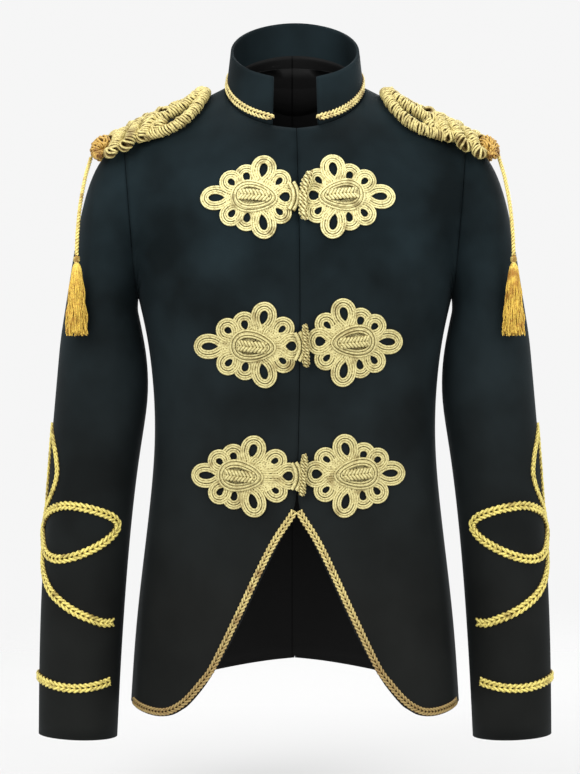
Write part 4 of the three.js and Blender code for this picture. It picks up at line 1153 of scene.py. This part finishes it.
def board_point(side, s, v, lift):
    """A point over the shoulder by share of the board's length and half width, lift in mm."""
    names = ("front_", "back_", "sleeve_")
    tree = cloth_tree(*[n + ("left" if side < 0 else "right") for n in names])
    x = BOARD["inner"] + (BOARD["outer"] - BOARD["inner"]) * s
    y = v * BOARD["half"]
    straight = -(x - BOARD["neck"]) * BOARD["slope"] - BOARD["sag"] * y * y
    hit = tree.ray_cast(Vector((side * x * MM, y * MM, 0.3)), Vector((0, 0, -1)))[0]
    z = straight if hit is None else max(straight, hit.z / MM + 1.1)
    return Vector((side * x, y, z + lift)) * MM


class JACKET_OT_epaulettes(bpy.types.Operator):
    """Makes the plaited shoulder boards"""
    bl_idname = "jacket.epaulettes"
    bl_label = "Epaulettes"

    def execute(self, context):
        settings = context.scene.jacket_epaulettes
        gold = material("epaulette_gold", gold_net(
            linear(104, 76, 28), linear(172, 154, 84), settings.colour, 0.15, 0.8))
        dark = material("rolled_end_gold", gold_net(
            linear(108, 62, 18), linear(160, 116, 44), linear(204, 168, 84), 0.2, 0.6))
        tree = growth_tree("bullion", (*ROPE_SIZES, ("Rough", "Float", 5 * MM)), build_bullion)
        size = {"Strands": 3, "Radius": settings.rope, "Strand Radius": 1.55 * MM, "Pitch": 8.4 * MM,
                "Rough": 5.6 * MM, "Step": 0.8 * MM, "Sides": 5}
        for word, side in SIDES:
            node = f"epaulette_{word}"
            ropes = [self.horseshoe(side), self.under_rope(side)] + [self.strand(side, k) for k in range(3)]
            parts = [grow("plait", ropes, tree, size, gold),
                     grow("roll", [self.roll(side)], tree, dict(size, Radius=3.8 * MM), dark)]
            worn(joined(node + "_plait", parts), "pale_gold", node)
        return {"FINISHED"}

    def horseshoe(self, side):
        """The rope round the long eye at the inner end."""
        return self.laid(side, EYE_ROPE, 240)

    def under_rope(self, side):
        """The rope below the eye, round the inner end's front edge."""
        return self.laid(side, LOWER_ROPE, 200)

    def strand(self, side, number):
        """One rope of the plait, from the eye to the outer end."""
        rows = []
        for k in range(40):
            s = PLAIT["start"] + (PLAIT["end"] - PLAIT["start"]) * k / 39
            along = (s - PLAIT["start"]) * (BOARD["outer"] - BOARD["inner"])
            turn = along / PLAIT["period"] * math.tau + number * math.tau / 3
            across = PLAIT["middle"] + PLAIT["swing"] * math.sin(turn)
            rows.append((s, across, PLAIT["lift"] + PLAIT["cross"] * math.sin(2 * turn)))
        return self.laid(side, rows, 260)

    def roll(self, side):
        """The rope rolled up at the outer end, where the cord comes out."""
        rows = []
        for k in range(81):
            swell = min(1.0, k / 12)
            rows.append((0.9 + 0.055 * swell * math.cos(k * 0.7), -1.4 + 2.1 * k / 80,
                         4.6 + 6.4 * swell * math.sin(k * 0.7)))
        return self.laid(side, rows, 640)

    def laid(self, side, rows, count):
        line = smooth_path([(s * 125, v * 31, h) for s, v, h in rows], count)
        points = [board_point(side, s / 125, v / 31, h) for s, v, h in line]
        return points, [Vector((0, -0.5, 0.8))] * len(points), False


class JACKET_OT_tassels(bpy.types.Operator):
    """Makes the hanging cords and their tassels"""
    bl_idname = "jacket.tassels"
    bl_label = "Cords and tassels"

    def execute(self, context):
        settings = context.scene.jacket_tassels
        gold = material("tassel_gold", gold_net(
            linear(158, 92, 18), linear(222, 178, 48), settings.colour, 0.15, 0.5, -0.218, 0.03))
        cord_gold = material("cord_gold", gold_net(
            linear(138, 98, 32), linear(212, 184, 88), linear(236, 218, 132), 0.15, 0.5))
        rope = growth_tree("twisted_cord", ROPE_SIZES, build_rope)
        skirt = growth_tree("tassel_threads", (
            ("Threads", "Int", 120), ("Top", "Float", 6 * MM), ("Bottom", "Float", 11.5 * MM),
            ("Radius", "Float", 0.55 * MM), ("Wave", "Float", 0.5 * MM), ("Uneven", "Float", 2 * MM),
            ("Step", "Float", 5 * MM), ("Sides", "Int", 5), ("Seed", "Int", 4)), build_skirt)
        for word, side in SIDES:
            route = [Vector((side * x, y, z)) * MM for x, y, z in CORD_ROUTE]
            line = [Vector(p) for p in smooth_path(route, 160)]
            half = settings.diameter / 2
            twist = {"Strands": 2, "Radius": half * 0.9, "Strand Radius": half * 0.5, "Pitch": 7.5 * MM,
                     "Step": 0.6 * MM, "Sides": 8}
            hanging = (line, [TOWARD_VIEWER] * len(line), False)
            cord = grow(f"tassel_cord_{word}_rope", [hanging], rope, twist, cord_gold)
            worn(cord, "yellow_gold", f"tassel_cord_{word}")
            tassel = self.tassel(word, side, settings, gold, cord_gold, rope, skirt)
            worn(tassel, "yellow_gold", f"tassel_{word}")
        return {"FINISHED"}

    def tassel(self, word, side, settings, gold, cord_gold, rope, skirt):
        """A wound head with a skirt of threads."""
        x, y, z = (c * MM for c in TASSEL_TOP)
        x *= side
        winding = []
        turns = 6
        heights = [h for _, h in TASSEL_HEAD]
        radii = [r for r, _ in TASSEL_HEAD]
        for k in range(turns * 16):
            share = k / (turns * 16)
            height = -1.2 - 8.4 * share
            r = float(np.interp(height, heights, radii)) + 0.1
            a = share * turns * math.tau
            winding.append(Vector((x + r * math.cos(a) * MM, y + r * math.sin(a) * MM, z + height * MM)))
        single = {"Strands": 1, "Radius": 0.8 * MM, "Strand Radius": 0.8 * MM, "Step": 0.7 * MM, "Sides": 6}
        wound_round = (winding, [Vector((0, 0, 1))] * len(winding), False)
        cord = grow("wound", [wound_round], rope, single, cord_gold)
        heart = lathe("heart", TASSEL_HEAD, 16, gold)
        heart.data.transform(Matrix.Translation((x, y, z)))
        start = [Vector((x, y, z - 8 * MM)), Vector((x, y, z - 82.5 * MM))]
        hang = {"Threads": settings.threads, "Top": 2.0 * MM, "Bottom": 12 * MM, "Radius": 0.55 * MM,
                "Wave": 1.5 * MM, "Uneven": 3.6 * MM, "Step": 4 * MM, "Sides": 5, "Seed": 4}
        threads = grow("threads", [(start, [TOWARD_VIEWER] * 2, False)], skirt, hang, gold)
        return joined(f"tassel_{word}_threads", [threads, cord, outward(heart)])


# Stage
FLOOR_RADIUS = 2.6
FLOOR_SIDES = 64
FLOOR_RIM = 0.1
FLOOR_FADE = 1.7
SKY_STRENGTH = 0.92
JACKET_MIDDLE = (0, 0, -0.33)
# The soft boxes: name, place and power in watts
SOFT_BOXES = (("key", (-1.3, -2.2, 1.0), 38), ("fill", (1.6, -2.0, 0.5), 22), ("top", (0.0, 0.2, 1.8), 18),
              ("back", (0.8, 2.4, 0.8), 26))
SOFT_BOX_SIZE = 1.6


def pale_floor_net(net):
    place = object_place(net)
    flat = net.add("ShaderNodeVectorMath", {"operation": "MULTIPLY"}, {0: place, 1: (1.0, 1.0, 0.0)})
    away = net.add("ShaderNodeVectorMath", {"operation": "LENGTH"}, {0: flat}, out="Value")
    fade = ((FLOOR_RADIUS - FLOOR_RIM - away) / FLOOR_FADE).within(0.0, 1.0)
    return {"Base Color": (0.64, 0.64, 0.64, 1.0), "Roughness": 0.9, "Alpha": fade * fade}


class JACKET_OT_stage(bpy.types.Operator):
    """Sets up the camera, the pale floor and the soft lights"""
    bl_idname = "jacket.stage"
    bl_label = "Stage"

    def execute(self, context):
        settings = context.scene.jacket_stage
        scene = context.scene
        data = bpy.data.cameras.new("camera")
        data.sensor_fit = "VERTICAL"
        data.sensor_height = 36
        data.lens = settings.lens
        camera = placed("camera", data)
        camera.location = CAMERA_AT
        camera.rotation_euler = (math.pi / 2, 0, 0)
        scene.camera = camera
        scene.view_settings.view_transform = "Standard"
        self.ground(settings)
        self.lights(settings)
        return {"FINISHED"}

    def ground(self, settings):
        """A round pale floor that fades out into the white around it."""
        mesh = bpy.data.meshes.new("floor")
        turns = np.linspace(0, math.tau, FLOOR_SIDES, endpoint=False)
        rim = [(FLOOR_RADIUS * math.cos(a), FLOOR_RADIUS * math.sin(a), settings.floor) for a in turns]
        mesh.from_pydata(rim, [], [tuple(range(FLOOR_SIDES))])
        mesh.materials.append(material("pale_floor", pale_floor_net))
        placed("floor", mesh)

    def lights(self, settings):
        world = bpy.data.worlds.new("studio")
        world.use_nodes = True
        sky = world.node_tree.nodes["Background"].inputs
        sky["Color"].default_value = WHITE
        sky["Strength"].default_value = SKY_STRENGTH * settings.light
        bpy.context.scene.world = world
        for name, place, power in SOFT_BOXES:
            data = bpy.data.lights.new(name, "AREA")
            data.size = SOFT_BOX_SIZE
            data.energy = power * settings.light
            light = placed(name, data)
            light.location = place
            aim = Vector(JACKET_MIDDLE) - light.location
            light.rotation_euler = aim.to_track_quat("-Z", "Y").to_euler()


class JACKET_PT_panel(bpy.types.Panel):
    """Lists the jacket's sizes, colours and build steps"""
    bl_idname = "JACKET_PT_panel"
    bl_label = "Stage jacket"
    bl_space_type = "VIEW_3D"
    bl_region_type = "UI"
    bl_category = "Jacket"

    def draw(self, context):
        for name, group in SETTINGS.items():
            box = self.layout.box()
            for key in group.__annotations__:
                box.prop(getattr(context.scene, name), key)
        for step in STEPS:
            self.layout.operator(step.bl_idname)


SETTINGS = {
    "jacket_stage": StageSettings, "jacket_cloth": ClothSettings, "jacket_braid": BraidSettings,
    "jacket_frogs": FrogSettings, "jacket_epaulettes": EpauletteSettings, "jacket_tassels": TasselSettings,
}
STEPS = (JACKET_OT_stage, JACKET_OT_cloth, JACKET_OT_tassels, JACKET_OT_braid, JACKET_OT_frogs,
         JACKET_OT_epaulettes)


def register():
    for group in (*SETTINGS.values(), *STEPS, JACKET_PT_panel):
        bpy.utils.register_class(group)
    for name, group in SETTINGS.items():
        setattr(bpy.types.Scene, name, bpy.props.PointerProperty(type=group))


def unregister():
    for name in SETTINGS:
        delattr(bpy.types.Scene, name)
    for group in (JACKET_PT_panel, *STEPS, *SETTINGS.values()):
        bpy.utils.unregister_class(group)


def main():
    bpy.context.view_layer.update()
    register()
    for step in STEPS:
        area, name = step.bl_idname.split(".")
        getattr(getattr(bpy.ops, area), name)()


if __name__ == "__main__":
    main()
